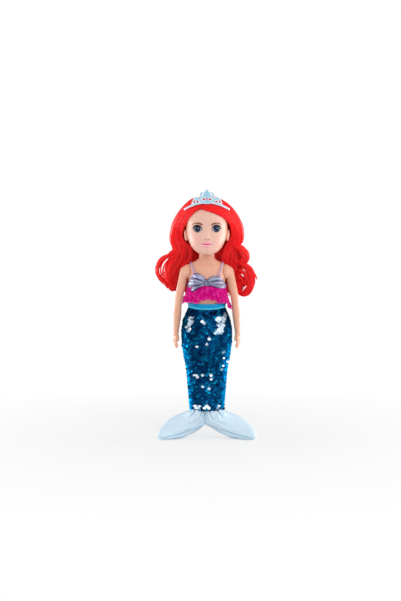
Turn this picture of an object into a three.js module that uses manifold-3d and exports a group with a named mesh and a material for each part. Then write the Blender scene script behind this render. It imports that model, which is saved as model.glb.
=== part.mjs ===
// A twelve-inch mermaid play doll: a vinyl head and limbs on a torso of two shells, rooted hair, a tiara,
// a gathered top with a tulle frill, and a tail of sequin cloth with stuffed fins.
// Millimetres, +Z up, on the floor at z = 0. The doll faces -Y, so its left side is +X.
import * as THREE from "three";
import { mergeVertices } from "three/addons/utils/BufferGeometryUtils.js";
import Module from "manifold-3d";

const wasm = await Module();
wasm.setup();

// Clearances
const GAP = 0.3; // between pieces that lie against each other
const RUN = 0.35; // round a stem that turns in its hole

// Heights, stacked from the floor up
const HEM_HEIGHT = 37; // floor to the tail's hem
const SOLE_RISE = 3; // hem to the soles of the feet
const LEG_LENGTH = 98; // soles to the hip axis
const HIP_TO_WAIST = 30; // hip axis to the middle of the waistband
const WAIST_TO_SHOULDER = 43; // to the shoulder axis
const SHOULDER_TO_NECK_TOP = 27;
const CHIN_DROP = 6.5; // neck top down to the chin
const HEAD_HEIGHT = 68.5; // chin to crown
const BODY_FORWARD = 3; // the body's upright axis in front of the middle of the doll's box

// Torso
const SHELL_WALL = 2.2;
const NECK_RADIUS = 9.3;
const SHOULDER_HALF_WIDTH = 23;
const SHOULDER_RISE = 10.5; // shoulder axis to the top of the shoulder
const CHEST_HALF_DEPTH = 14.2;
const WAIST_HALF_WIDTH = 21.5;
const WAIST_HALF_DEPTH = 13;
const HIP_HALF_WIDTH = 24.5;
const HIP_HALF_DEPTH = 15.5;
const PELVIS_HALF_WIDTH = 9.5; // the tongue between the legs
const PELVIS_RADIUS = 12.5;

// Flange joints: a stem through the wall, with a wider disc behind it
const FLANGE_THICKNESS = 2;
const NECK_STEM_RADIUS = 4.2;
const NECK_FLANGE_RADIUS = 6.4;
const ARM_STEM_RADIUS = 3.6;
const ARM_FLANGE_RADIUS = 5.6;
const SHOULDER_SEAT = 4.5; // wall that the arm's stem passes
const LEG_STEM_RADIUS = 5;
const LEG_FLANGE_RADIUS = 7.4;

// Arms
const ARM_LENGTH = 76; // shoulder axis to the wrist
const ELBOW_DROP = 38; // shoulder axis to the elbow
const ELBOW_OUT = 7; // the elbow outside the shoulder
const WRIST_OUT = 10;
const SHOULDER_RADIUS = 9; // round of the shoulder beside the torso
const UPPER_ARM_RADIUS = 5.3;
const FOREARM_RADIUS = 5;
const WRIST_RADIUS = 3.5;
const HAND_LENGTH = 20;
const PALM_HALF_WIDTH = 4.5;
const PALM_HALF_THICKNESS = 2.7;
const THUMB_RADIUS = 1.7;
const THUMB_LENGTH = 10;
const HAND_TURN = THREE.MathUtils.degToRad(35);

// Legs, inside the tail
const LEG_DISC_RADIUS = 15; // round top of the leg, about the hip axis
const LEG_DISC_WIDTH = 17;
const LEG_SPACE = 1.2; // between the two legs
const THIGH_RADIUS = 12.2;
const KNEE_RADIUS = 10;
const CALF_RADIUS = 9.4;
const ANKLE_RADIUS = 6;
const FOOT_LENGTH = 25;
const FOOT_HALF_WIDTH = 6.8;
const FOOT_HEIGHT = 9;
const FOOT_FORWARD = 3.5; // middle of the foot in front of the leg

// Head
const HEAD_WALL = 2.5;
const NECK_ROOM = 1.2; // round the neck where it enters the head
const HEAD_HALF_WIDTH = 26;
const FACE_FRONT = 28.5; // neck axis to the face
const HEAD_BACK = 31; // neck axis to the back of the skull
const EYE_RADIUS = 8;
const EYE_SPACING = 23;
const EYE_RISE = 33; // chin to the eyes
const EYE_WIDTH = 12.4;
const EYE_HEIGHT = 9.2;
const EYE_INSET = 0.8; // front of the eye behind the lids
const NOSE_LENGTH = 3.6;
const NOSE_RISE = 22; // chin to the tip of the nose
const MOUTH_RISE = 13;
const EAR_HEIGHT = 17;
const EAR_STAND = 2.8; // ear beyond the side of the head
const EAR_RISE = 25;

// Hair
const HAIR_TOP = 6; // over the crown
const HAIR_HALF_WIDTH = 46;
const HAIR_BACK = 38; // neck axis to the back of the hair
const HAIRLINE_RISE = 54; // chin to the middle of the hairline
const FRINGE_RISE = 6; // the parting above the middle of the hairline
const FRINGE_FALL = 18; // the fringe's end below it
const FRINGE_WIDTH = 11;
const FRINGE_THICKNESS = 3.4;
const LOCK_REACH = 64; // neck axis to the widest curl
const LOCK_INSET = 20; // the inner edge at the left lock's tip outside that at its top
const LEFT_LOCK_LENGTH = 61;
const RIGHT_LOCK_LENGTH = 52;
const BACK_HAIR_LENGTH = 66;
const LOCK_DEPTH = 20;
const LOCK_CLEARANCE = 1.3; // behind the arms
const BACK_HAIR_DEPTH = 15;

// Tiara
const TIARA_THICKNESS = 1.5;
const TIARA_BAND = 2.6;
const TIARA_SPAN = THREE.MathUtils.degToRad(64); // half of the arc that the band runs round the hair
const TIARA_RISE = 17.5; // foot of the band to the bead on top
const TIARA_DROP = 9; // the band's ends below its middle
const TIARA_BELOW_TOP = 9.5; // top of the hair to the foot of the band
const CENTRE_LOBE = 8.6; // half width
const SIDE_LOBE = 5;
const BEAD_RADIUS = 2;
const HOLE_RADIUS = 1.7;
const STONE_RADIUS = 1.5;
const STONE_RISE = 5.2; // foot of the band to the middle of the stone

// Top
const CLOTH = 0.9; // thickness of the sewn cloth
const CUP_SPACING = 23;
const CUP_DROP = 2; // shoulder axis down to the top of the cups
const DIP_DROP = 10; // to the dip between them
const SIDE_DROP = 12; // to the top edge under the arms and at the back
const KNOT_FOOT_DROP = 17.5; // to the lower edge at the centre
const TOP_FOOT_DROP = 22; // to the lower edge elsewhere
const KNOT_HALF_WIDTH = 2.4;
const KNOT_STAND = 2.2;
const STRAP_WIDTH = 3.6;
const STRAP_FOOT = 15; // neck axis to the strap's front end
const STRAP_TOP = 19.5; // neck axis to the strap on the shoulder
const CLOSURE_HALF_WIDTH = 4;
const FRILL_DROP = 17; // length of the frill
const FRILL_FLARE = 3.4;
const FRILL_FOLD = 1.3;
const FRILL_FOLDS = 14;
const FRILL_ARCH = 5; // the lower edge lifts at the front over the belly

// Tail
const BAND_HEIGHT = 8;
const BAND_THICKNESS = 1.2;
const TAIL_EASE = 3; // cloth off the legs
const HEM_HALF_WIDTH = 20.5;
const FIN_REACH = 62; // middle of the tail to the tip of a fin
const FIN_DEPTH = 32;
const FIN_HEIGHT = 29;
const FIN_BACK = 5; // middle of the root behind the body's axis
const FIN_SWEEP = 18; // tip in front of the root
const NOTCH_HEIGHT = 21; // floor to the notch between the fins
const FLAT_DEPTH = 0.5; // pressed flat where the fins stand on the floor

// Facets
const SIDES = 16;
const FINE = 20;

// Places worked out from the sizes
const solePlace = HEM_HEIGHT + SOLE_RISE;
const hipPlace = solePlace + LEG_LENGTH;
const legTop = hipPlace + LEG_DISC_RADIUS + GAP;
const waistPlace = hipPlace + HIP_TO_WAIST;
const shoulderPlace = waistPlace + WAIST_TO_SHOULDER;
const neckTop = shoulderPlace + SHOULDER_TO_NECK_TOP;
const chinPlace = neckTop - CHIN_DROP;
const crownPlace = chinPlace + HEAD_HEIGHT;
const hairTop = crownPlace + HAIR_TOP;
const hairFoot = neckTop + GAP;
const far = 4 * HAIR_HALF_WIDTH; // well outside the doll, for cuts

const X = new THREE.Vector3(1, 0, 0);
const Y = new THREE.Vector3(0, 1, 0);
const Z = new THREE.Vector3(0, 0, 1);

// A smooth run through rows of values that never overshoots them; the first column is the place.
function through(rows) {
  const last = rows.length - 1;
  const rise = (i, c) => (rows[i + 1][c] - rows[i][c]) / (rows[i + 1][0] - rows[i][0]);
  const slope = (i, c) => {
    if (i === 0) return rise(0, c);
    if (i === last) return rise(last - 1, c);
    const before = rise(i - 1, c);
    const after = rise(i, c);
    return before * after <= 0 ? 0 : (2 * before * after) / (before + after);
  };
  return (place) => {
    let i = 0;
    while (i < last - 1 && place > rows[i + 1][0]) i++;
    const step = rows[i + 1][0] - rows[i][0];
    const t = THREE.MathUtils.clamp((place - rows[i][0]) / step, 0, 1);
    const s = 1 - t;
    return rows[i].map((value, c) =>
      s * s * (1 + 2 * t) * value
      + t * t * (1 + 2 * s) * rows[i + 1][c]
      + step * t * s * (s * slope(i, c) - t * slope(i + 1, c)));
  };
}

// Evenly spaced places, both ends included.
function places(from, to, steps) {
  return Array.from({ length: steps + 1 }, (_, i) => from + ((to - from) * i) / steps);
}

// A closed ring about a centre with half axes u and v; a power over 2 squares it off.
function ring(centre, u, v, power = 2, count = SIDES) {
  return Array.from({ length: count }, (_, i) => {
    const angle = (2 * Math.PI * i) / count;
    const c = Math.cos(angle);
    const s = Math.sin(angle);
    const a = Math.sign(c) * Math.abs(c) ** (2 / power);
    const b = Math.sign(s) * Math.abs(s) ** (2 / power);
    return centre.clone().addScaledVector(u, a).addScaledVector(v, b);
  });
}

// A level ring, by its half width and half depth.
function levelRing(x, y, z, halfX, halfY, power = 2, count = SIDES) {
  return ring(new THREE.Vector3(x, y, z), new THREE.Vector3(halfX, 0, 0), new THREE.Vector3(0, halfY, 0),
    power, count);
}

// A solid skinned over rings of equal count, closed by a fan at each end.
function loft(rings) {
  const count = rings[0].length;
  const points = rings.flat();
  const index = [];
  for (let r = 0; r + 1 < rings.length; r++) {
    for (let i = 0; i < count; i++) {
      const a = r * count + i;
      const b = r * count + ((i + 1) % count);
      index.push(a, b, b + count, a, b + count, a + count);
    }
  }
  for (const r of [0, rings.length - 1]) {
    const middle = new THREE.Vector3();
    rings[r].forEach((point) => middle.addScaledVector(point, 1 / count));
    const m = points.push(middle) - 1;
    for (let i = 0; i < count; i++) {
      const a = r * count + i;
      const b = r * count + ((i + 1) % count);
      index.push(...(r === 0 ? [m, b, a] : [m, a, b]));
    }
  }
  const geometry = new THREE.BufferGeometry().setFromPoints(points);
  geometry.setIndex(index);
  return solid(geometry);
}

// A closed mesh as a solid whose faces point out.
function solid(geometry) {
  const bare = geometry.index ? geometry.clone() : geometry;
  bare.deleteAttribute("normal");
  bare.deleteAttribute("uv");
  const merged = mergeVertices(bare, 1e-4);
  const position = merged.attributes.position;
  const triangles = [];
  let volume = 0;
  const [p, q, r] = [new THREE.Vector3(), new THREE.Vector3(), new THREE.Vector3()];
  for (let i = 0; i < merged.index.count; i += 3) {
    const [a, b, c] = [0, 1, 2].map((k) => merged.index.getX(i + k));
    if (a === b || b === c || c === a) continue;
    triangles.push([a, b, c]);
    p.fromBufferAttribute(position, a);
    q.fromBufferAttribute(position, b);
    r.fromBufferAttribute(position, c);
    volume += p.dot(q.cross(r));
  }
  const outward = volume > 0 ? triangles : triangles.map(([a, b, c]) => [a, c, b]);
  return new wasm.Manifold(new wasm.Mesh({
    numProp: 3,
    vertProperties: new Float32Array(position.array),
    triVerts: new Uint32Array(outward.flat()),
  }));
}

// A box between two corners.
function block(low, high) {
  const size = new THREE.Vector3(...high).sub(new THREE.Vector3(...low));
  const geometry = new THREE.BoxGeometry(size.x, size.y, size.z);
  geometry.translate((low[0] + high[0]) / 2, (low[1] + high[1]) / 2, (low[2] + high[2]) / 2);
  return solid(geometry);
}

// A round solid turned about an axis through a centre: rows of radius and place along the axis.
function turned(rows, axis, centre, count = SIDES) {
  const outline = rows.map(([radius, place]) => new THREE.Vector2(radius, place));
  const geometry = new THREE.LatheGeometry(outline, count);
  geometry.applyQuaternion(new THREE.Quaternion().setFromUnitVectors(Y, axis));
  geometry.translate(centre.x, centre.y, centre.z);
  return solid(geometry);
}

// A plain disc or rod on an axis.
function rod(radius, from, to, axis, centre, count = SIDES) {
  return turned([[0, from], [radius, from], [radius, to], [0, to]], axis, centre, count);
}

// A flat outline in the plane of two axes, pulled along their normal.
function prism(outline, across, up, from, to) {
  const geometry = new THREE.ExtrudeGeometry(outline, {
    depth: to - from,
    bevelEnabled: false,
    curveSegments: 10,
  });
  geometry.translate(0, 0, from);
  const normal = new THREE.Vector3().crossVectors(across, up);
  geometry.applyMatrix4(new THREE.Matrix4().makeBasis(across, up, normal));
  return solid(geometry);
}

// An egg-shaped ball.
function ball(centre, halfX, halfY, halfZ, count = 16) {
  const geometry = new THREE.SphereGeometry(1, count, count - 4);
  geometry.scale(halfX, halfY, halfZ);
  geometry.translate(centre.x, centre.y, centre.z);
  return solid(geometry);
}

const doll = new THREE.Group();
doll.position.y = -BODY_FORWARD;

const skin = { color: "#e9b48f", roughness: 0.5, metalness: 0 };
const hair = { color: "#d01c22", roughness: 0.45, metalness: 0 };
const lilac = { color: "#8f86b8", roughness: 0.35, metalness: 0.4 };
const ice = { color: "#c4e0f0", roughness: 0.4, metalness: 0.1 };

// One named mesh of the doll.
function piece(name, body, look) {
  const mesh = body.getMesh();
  const geometry = new THREE.BufferGeometry();
  geometry.setAttribute("position", new THREE.BufferAttribute(mesh.vertProperties, 3));
  geometry.setIndex(new THREE.BufferAttribute(mesh.triVerts, 1));
  geometry.computeVertexNormals();
  const named = new THREE.Mesh(geometry, new THREE.MeshStandardMaterial(look));
  named.name = name;
  doll.add(named);
}

// Torso: half width and half depth at each height
const torsoAt = through([
  [legTop, HIP_HALF_WIDTH, HIP_HALF_DEPTH],
  [waistPlace, WAIST_HALF_WIDTH, WAIST_HALF_DEPTH],
  [shoulderPlace - SHOULDER_RISE, SHOULDER_HALF_WIDTH, CHEST_HALF_DEPTH],
  [shoulderPlace + 0.45 * SHOULDER_RISE, SHOULDER_HALF_WIDTH, 0.92 * CHEST_HALF_DEPTH],
  [shoulderPlace + 0.85 * SHOULDER_RISE, 0.96 * SHOULDER_HALF_WIDTH, 0.78 * CHEST_HALF_DEPTH],
  [shoulderPlace + SHOULDER_RISE, 0.86 * SHOULDER_HALF_WIDTH, 0.74 * CHEST_HALF_DEPTH],
  [shoulderPlace + 1.3 * SHOULDER_RISE, 1.45 * NECK_RADIUS, 1.08 * NECK_RADIUS],
  [shoulderPlace + 1.65 * SHOULDER_RISE, 1.04 * NECK_RADIUS, NECK_RADIUS],
  [neckTop, NECK_RADIUS, 0.97 * NECK_RADIUS],
]);

// The torso's section at a height, grown outward (and upward over the shoulders) by a cloth or a wall.
function torsoSection(z, grow) {
  const level = z > shoulderPlace ? Math.max(shoulderPlace, z - grow) : z;
  const [, halfWidth, halfDepth] = torsoAt(level);
  return [halfWidth + grow, halfDepth + grow];
}

const torsoPower = 2.3;

// Levels of the torso's facets, shared by everything that lies on it, close together over the shoulders
const torsoLevels = [
  ...places(legTop, shoulderPlace - SHOULDER_RISE, 6),
  ...places(shoulderPlace - SHOULDER_RISE, shoulderPlace + 1.65 * SHOULDER_RISE, 8).slice(1),
  neckTop,
];

function torsoForm(grow, from, to, count = FINE) {
  const between = torsoLevels
    .map((z) => (z > shoulderPlace ? z + grow : z))
    .filter((z) => z > from + GAP && z < to - GAP);
  return loft([from, ...between, to].map((z) => {
    const [halfWidth, halfDepth] = torsoSection(z, grow);
    return levelRing(0, 0, z, halfWidth, halfDepth, torsoPower, count);
  }));
}

// The pelvis is a tongue with a round foot about the hip axis, which the legs' tops turn beside.
function pelvis(shrink) {
  const radius = PELVIS_RADIUS - shrink;
  const outline = new THREE.Shape();
  outline.absarc(0, hipPlace, radius, Math.PI, 2 * Math.PI, false);
  outline.lineTo(radius, legTop + 2 * SHELL_WALL);
  outline.lineTo(-radius, legTop + 2 * SHELL_WALL);
  return prism(outline, Y, Z, shrink - PELVIS_HALF_WIDTH, PELVIS_HALF_WIDTH - shrink);
}

const hip = new THREE.Vector3(0, 0, hipPlace);
const shoulder = new THREE.Vector3(0, 0, shoulderPlace);
const neck = new THREE.Vector3(0, 0, neckTop);

// Each arm's stem passes a thick seat in the shoulder, with a round pocket for its disc behind it.
const armDisc = SHOULDER_HALF_WIDTH - SHOULDER_SEAT - GAP;
const pocketDepth = 2 * FLANGE_THICKNESS;
const pocket = (axis) =>
  rod(ARM_FLANGE_RADIUS + RUN, armDisc + GAP - pocketDepth, armDisc + GAP, axis, shoulder, 16);
const hollow = torsoForm(-SHELL_WALL, legTop + SHELL_WALL, neckTop - SHELL_WALL, 16).add(pelvis(SHELL_WALL));
const torso = torsoForm(0, legTop, neckTop)
  .add(pelvis(0))
  .subtract(hollow)
  .subtract(pocket(X))
  .subtract(pocket(X.clone().negate()))
  .subtract(rod(ARM_STEM_RADIUS + RUN, -SHOULDER_HALF_WIDTH - 1, SHOULDER_HALF_WIDTH + 1, X, shoulder))
  .subtract(rod(LEG_STEM_RADIUS + RUN, -PELVIS_HALF_WIDTH - 1, PELVIS_HALF_WIDTH + 1, X, hip))
  .subtract(rod(NECK_STEM_RADIUS + RUN, -2 * SHELL_WALL, 1, Z, neck));

piece("torso_front", torso.intersect(block([-far, -far, 0], [far, -GAP / 2, 2 * far])), skin);
piece("torso_back", torso.intersect(block([-far, GAP / 2, 0], [far, far, 2 * far])), skin);

// Neck plug: a lower disc under the neck's rim, a stem, and a button above the floor of the head
const seatTop = neckTop + GAP + HEAD_WALL;
piece("neck_plug", turned([
  [0, neckTop - SHELL_WALL - GAP - FLANGE_THICKNESS],
  [NECK_FLANGE_RADIUS, neckTop - SHELL_WALL - GAP - FLANGE_THICKNESS],
  [NECK_FLANGE_RADIUS, neckTop - SHELL_WALL - GAP],
  [NECK_STEM_RADIUS, neckTop - SHELL_WALL - GAP],
  [NECK_STEM_RADIUS, seatTop + GAP],
  [NECK_FLANGE_RADIUS, seatTop + GAP],
  [0.8 * NECK_FLANGE_RADIUS, seatTop + GAP + 1.5 * FLANGE_THICKNESS],
  [0, seatTop + GAP + 1.5 * FLANGE_THICKNESS],
], Z, new THREE.Vector3()), { color: "#e8e4da", roughness: 0.5, metalness: 0 });

// Arms
const armInner = SHOULDER_HALF_WIDTH + GAP;
const armAxis = armInner + UPPER_ARM_RADIUS;

const armRun = through([
  [0, 0],
  [ELBOW_DROP, ELBOW_OUT],
  [ARM_LENGTH, WRIST_OUT],
  [ARM_LENGTH + HAND_LENGTH, WRIST_OUT + 0.08 * HAND_LENGTH],
]);

function armX(drop) {
  const [, out] = armRun(drop);
  return armAxis + out;
}

// The hand: a mitten of four fingers curled in, and a thumb in front of them.
function hand(side) {
  const wide = new THREE.Vector3(side * Math.cos(HAND_TURN), Math.sin(HAND_TURN), 0);
  const thin = new THREE.Vector3(-Math.sin(HAND_TURN), side * Math.cos(HAND_TURN), 0);
  const at = (drop, curl) => new THREE.Vector3(side * (armX(drop) - curl), 0, shoulderPlace - drop);
  const fingerAt = through([
    [0, 0.9 * WRIST_RADIUS, 0.9 * WRIST_RADIUS, 0],
    [0.2 * HAND_LENGTH, 0.8 * PALM_HALF_WIDTH, PALM_HALF_THICKNESS, 0],
    [0.45 * HAND_LENGTH, PALM_HALF_WIDTH, PALM_HALF_THICKNESS, 0],
    [0.75 * HAND_LENGTH, 0.82 * PALM_HALF_WIDTH, 0.8 * PALM_HALF_THICKNESS, 0.3 * PALM_HALF_WIDTH],
    [0.93 * HAND_LENGTH, 0.62 * PALM_HALF_WIDTH, 0.62 * PALM_HALF_THICKNESS, 0.65 * PALM_HALF_WIDTH],
    [HAND_LENGTH, 0.25 * PALM_HALF_WIDTH, 0.3 * PALM_HALF_THICKNESS, 0.85 * PALM_HALF_WIDTH],
  ]);
  const fingers = loft(places(0, HAND_LENGTH, 7).map((along) => {
    const [, halfWidth, halfThick, curl] = fingerAt(along);
    const centre = at(ARM_LENGTH + along, curl);
    const u = wide.clone().multiplyScalar(halfWidth);
    const v = thin.clone().multiplyScalar(halfThick);
    return ring(centre, u, v, 2.4, 12);
  }));
  const thumb = loft(places(0, 1, 5).map((t) => {
    const radius = THUMB_RADIUS * Math.sqrt(1.05 - t * t);
    const centre = at(ARM_LENGTH + 0.18 * HAND_LENGTH + t * THUMB_LENGTH, 0)
      .addScaledVector(wide, -(0.45 + 0.55 * Math.sin(t * Math.PI * 0.6)) * PALM_HALF_WIDTH)
      .addScaledVector(thin, -side * 0.4 * PALM_HALF_THICKNESS);
    return levelRing(centre.x, centre.y, centre.z, radius, radius, 2, 8);
  }));
  return fingers.add(thumb);
}

function arm(side) {
  const axis = new THREE.Vector3(side, 0, 0);
  const limbAt = through([
    [0, UPPER_ARM_RADIUS],
    [0.4 * ARM_LENGTH, 0.94 * UPPER_ARM_RADIUS],
    [0.58 * ARM_LENGTH, 0.92 * FOREARM_RADIUS],
    [0.7 * ARM_LENGTH, FOREARM_RADIUS],
    [ARM_LENGTH, WRIST_RADIUS],
    [ARM_LENGTH + 0.08 * HAND_LENGTH, 0.97 * WRIST_RADIUS],
  ]);
  const limb = loft(places(0, ARM_LENGTH + 0.08 * HAND_LENGTH, 9).map((drop) => {
    const [, radius] = limbAt(drop);
    return levelRing(side * armX(drop), 0, shoulderPlace - drop, radius, radius, 2, 12);
  }));
  const flange = turned([
    [0, armDisc - FLANGE_THICKNESS],
    [ARM_FLANGE_RADIUS, armDisc - FLANGE_THICKNESS],
    [ARM_FLANGE_RADIUS, armDisc],
    [ARM_STEM_RADIUS, armDisc],
    [ARM_STEM_RADIUS, armAxis],
    [0, armAxis],
  ], axis, shoulder, 14);
  const cap = turned([
    [0, armInner],
    [0.95 * SHOULDER_RADIUS, armInner],
    [SHOULDER_RADIUS, armInner + 0.2 * UPPER_ARM_RADIUS],
    [0.86 * SHOULDER_RADIUS, armInner + 0.7 * UPPER_ARM_RADIUS],
    [0.72 * SHOULDER_RADIUS, armAxis + 0.1 * UPPER_ARM_RADIUS],
    [0.53 * SHOULDER_RADIUS, armAxis + 0.56 * UPPER_ARM_RADIUS],
    [0.3 * SHOULDER_RADIUS, armAxis + 0.86 * UPPER_ARM_RADIUS],
    [0, armAxis + UPPER_ARM_RADIUS],
  ], axis, shoulder, 18);
  const outer = block([Math.min(side * armInner, side * far), -far, 0],
    [Math.max(side * armInner, side * far), far, 2 * far]);
  return limb.add(cap).add(hand(side)).intersect(outer).add(flange);
}

piece("left_arm", arm(1), skin);
piece("right_arm", arm(-1), skin);

// Legs: outer edge and depth at each height, which the tail's cloth follows too
const discInner = PELVIS_HALF_WIDTH + GAP;
const kneePlace = solePlace + 0.48 * LEG_LENGTH;
const calfPlace = solePlace + 0.3 * LEG_LENGTH;
const anklePlace = solePlace + 0.13 * LEG_LENGTH;
const thighPlace = solePlace + 0.74 * LEG_LENGTH;
const footMiddle = LEG_SPACE / 2 + FOOT_HALF_WIDTH;

function leg(side) {
  const axis = new THREE.Vector3(side, 0, 0);
  const beside = (radius) => LEG_SPACE / 2 + radius;
  const limbAt = through([
    [solePlace + 0.5 * FOOT_HEIGHT, footMiddle, 0.95 * ANKLE_RADIUS, 0],
    [anklePlace, beside(ANKLE_RADIUS) + 1, ANKLE_RADIUS, 0],
    [calfPlace, beside(CALF_RADIUS), CALF_RADIUS, 0.5],
    [kneePlace, beside(KNEE_RADIUS), KNEE_RADIUS, -0.5],
    [thighPlace, beside(THIGH_RADIUS), THIGH_RADIUS, 0],
    [hipPlace, discInner + 0.5 * LEG_DISC_WIDTH, 0.5 * LEG_DISC_WIDTH, 0],
  ]);
  const limb = loft(places(solePlace + 0.5 * FOOT_HEIGHT, hipPlace, 10).map((z) => {
    const [, x, radius, y] = limbAt(z);
    return levelRing(side * x, y, z, radius, Math.max(radius, 0.9 * radius + 1), 2, 14);
  }));
  const footAt = through([
    [0, 0.9 * FOOT_HALF_WIDTH, 0.48 * FOOT_LENGTH],
    [0.25 * FOOT_HEIGHT, FOOT_HALF_WIDTH, 0.5 * FOOT_LENGTH],
    [0.6 * FOOT_HEIGHT, 0.9 * FOOT_HALF_WIDTH, 0.42 * FOOT_LENGTH],
    [FOOT_HEIGHT, 0.7 * FOOT_HALF_WIDTH, 0.22 * FOOT_LENGTH],
  ]);
  const foot = loft(places(0, FOOT_HEIGHT, 4).map((up) => {
    const [, halfWidth, halfLength] = footAt(up);
    const heel = 0.5 * FOOT_LENGTH - FOOT_FORWARD;
    return levelRing(side * footMiddle, heel - halfLength, solePlace + up, halfWidth, halfLength, 2.4, 14);
  }));
  const disc = PELVIS_HALF_WIDTH - SHELL_WALL - GAP;
  const flange = turned([
    [0, disc - FLANGE_THICKNESS],
    [LEG_FLANGE_RADIUS, disc - FLANGE_THICKNESS],
    [LEG_FLANGE_RADIUS, disc],
    [LEG_STEM_RADIUS, disc],
    [LEG_STEM_RADIUS, discInner + 1],
    [0, discInner + 1],
  ], axis, hip);
  const rounding = places(0, Math.PI / 2, 5).map((angle) =>
    [LEG_DISC_RADIUS * Math.cos(angle), discInner + LEG_DISC_WIDTH * (0.35 + 0.65 * Math.sin(angle))]);
  rounding[rounding.length - 1][0] = 0;
  const top = turned([[0, discInner], [LEG_DISC_RADIUS, discInner], ...rounding], axis, hip);
  const tongue = rod(PELVIS_RADIUS + GAP, -discInner, discInner, X, hip, 24);
  const above = block([-discInner, -far, hipPlace], [discInner, far, 2 * far]);
  const lap = block([-discInner, -far, hipPlace - PELVIS_RADIUS - GAP], [discInner, 0, 2 * far]);
  return limb.subtract(tongue).subtract(above).subtract(lap).add(foot).add(top).add(flange);
}

piece("left_leg", leg(1), skin);
piece("right_leg", leg(-1), skin);

// Head: half width, front and back at each height over the chin, as shares of the head's own sizes
const headAt = through([
  [0, 0.2, 0.72, -0.35],
  [0.03, 0.45, 0.85, -0.1],
  [0.09, 0.66, 0.93, 0.2],
  [0.18, 0.82, 0.98, 0.52],
  [0.3, 0.93, 1, 0.75],
  [0.45, 0.985, 0.985, 0.92],
  [0.6, 1, 0.995, 1],
  [0.74, 0.95, 0.93, 1],
  [0.86, 0.8, 0.74, 0.88],
  [0.94, 0.55, 0.47, 0.64],
  [0.985, 0.28, 0.2, 0.34],
  [1, 0.05, 0.03, 0.06],
]);

// Nose, lips, chin, cheeks and eye sockets, as a rise of the face at a point x beside its middle.
function faceRise(x, up) {
  const bump = (height, atX, atUp, halfX, halfUp) =>
    height * Math.exp(-(((Math.abs(x) - atX) / halfX) ** 2) - ((up - atUp) / halfUp) ** 2);
  return bump(NOSE_LENGTH, 0, NOSE_RISE, 0.11 * EYE_SPACING, 0.2 * NOSE_RISE)
    + bump(0.3 * NOSE_LENGTH, 0, EYE_RISE - 3, 0.13 * EYE_SPACING, 0.3 * NOSE_RISE)
    + bump(1.3, 0, MOUTH_RISE + 2, 0.24 * EYE_SPACING, 2)
    + bump(1.2, 0, MOUTH_RISE - 2, 0.2 * EYE_SPACING, 2)
    + bump(0.9, 0.6 * EYE_SPACING, 0.7 * NOSE_RISE, 7, 7)
    - bump(1.4, EYE_SPACING / 2, EYE_RISE, 6.5, 5);
}

const headPower = 2.2;

function headRing(up, grow, count) {
  const [, width, front, back] = headAt(up / HEAD_HEIGHT);
  const y0 = -front * FACE_FRONT - grow;
  const y1 = back * HEAD_BACK + grow;
  const points = levelRing(0, (y0 + y1) / 2, chinPlace + up, width * HEAD_HALF_WIDTH + grow, (y1 - y0) / 2,
    headPower, count);
  return points.map((point) => {
    const facing = THREE.MathUtils.smoothstep(-point.y, 0.3 * FACE_FRONT, 0.8 * FACE_FRONT);
    point.y -= facing * faceRise(point.x, up);
    return point;
  });
}

function headForm(grow, steps, count) {
  const heights = places(0, 1, steps).map((t) => HEAD_HEIGHT * (0.5 - 0.5 * Math.cos(Math.PI * t)) ** 0.92);
  return loft(heights.map((up) => headRing(up, grow, count).map((point) => {
    point.z += grow * (2 * (up / HEAD_HEIGHT) - 1);
    return point;
  })));
}

function ears(grow) {
  const earBall = (side) => ball(
    new THREE.Vector3(side * HEAD_HALF_WIDTH, 0.1 * HEAD_BACK, chinPlace + EAR_RISE),
    EAR_STAND + grow, 0.26 * EAR_HEIGHT + grow, EAR_HEIGHT / 2 + grow, 10);
  return earBall(1).add(earBall(-1));
}

// The face's front at the eyes, from the same section as the head.
function faceFront(x, up) {
  const [, width, front, back] = headAt(up / HEAD_HEIGHT);
  const y0 = -front * FACE_FRONT;
  const y1 = back * HEAD_BACK;
  const share = (1 - (x / (width * HEAD_HALF_WIDTH)) ** headPower) ** (1 / headPower);
  return (y0 + y1) / 2 - share * ((y1 - y0) / 2) - faceRise(x, up);
}

const eyeFront = faceFront(EYE_SPACING / 2, EYE_RISE) + EYE_INSET;

function eyeCentre(side) {
  return new THREE.Vector3(side * EYE_SPACING / 2, eyeFront + EYE_RADIUS, chinPlace + EYE_RISE);
}

function eyeSocket(side) {
  const centre = eyeCentre(side);
  const lids = new THREE.Shape();
  lids.absellipse(centre.x, centre.z, EYE_WIDTH / 2, EYE_HEIGHT / 2, 0, 2 * Math.PI, false, 0);
  const radius = EYE_RADIUS + GAP;
  return ball(centre, radius, radius, radius, 14).add(prism(lids, X, Z, -centre.y, far));
}

const cavity = headForm(-HEAD_WALL, 9, 14)
  .intersect(block([-far, -far, seatTop], [far, far, 2 * far]))
  .add(rod(NECK_FLANGE_RADIUS + RUN, seatTop, seatTop + 3 * FLANGE_THICKNESS, Z, new THREE.Vector3()));
const skull = headForm(0, 19, 28).add(ears(0));
piece("head_shell", skull
  .subtract(cavity)
  .subtract(rod(NECK_RADIUS + NECK_ROOM, -far, GAP, Z, neck))
  .subtract(rod(NECK_STEM_RADIUS + RUN, -1, 2 * HEAD_WALL, Z, neck))
  .subtract(eyeSocket(1))
  .subtract(eyeSocket(-1)), skin);

for (const [name, side] of [["left_eye", 1], ["right_eye", -1]]) {
  piece(name, ball(eyeCentre(side), EYE_RADIUS, EYE_RADIUS, EYE_RADIUS, 12),
    { color: "#22384f", roughness: 0.1, metalness: 0 });
}

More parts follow.
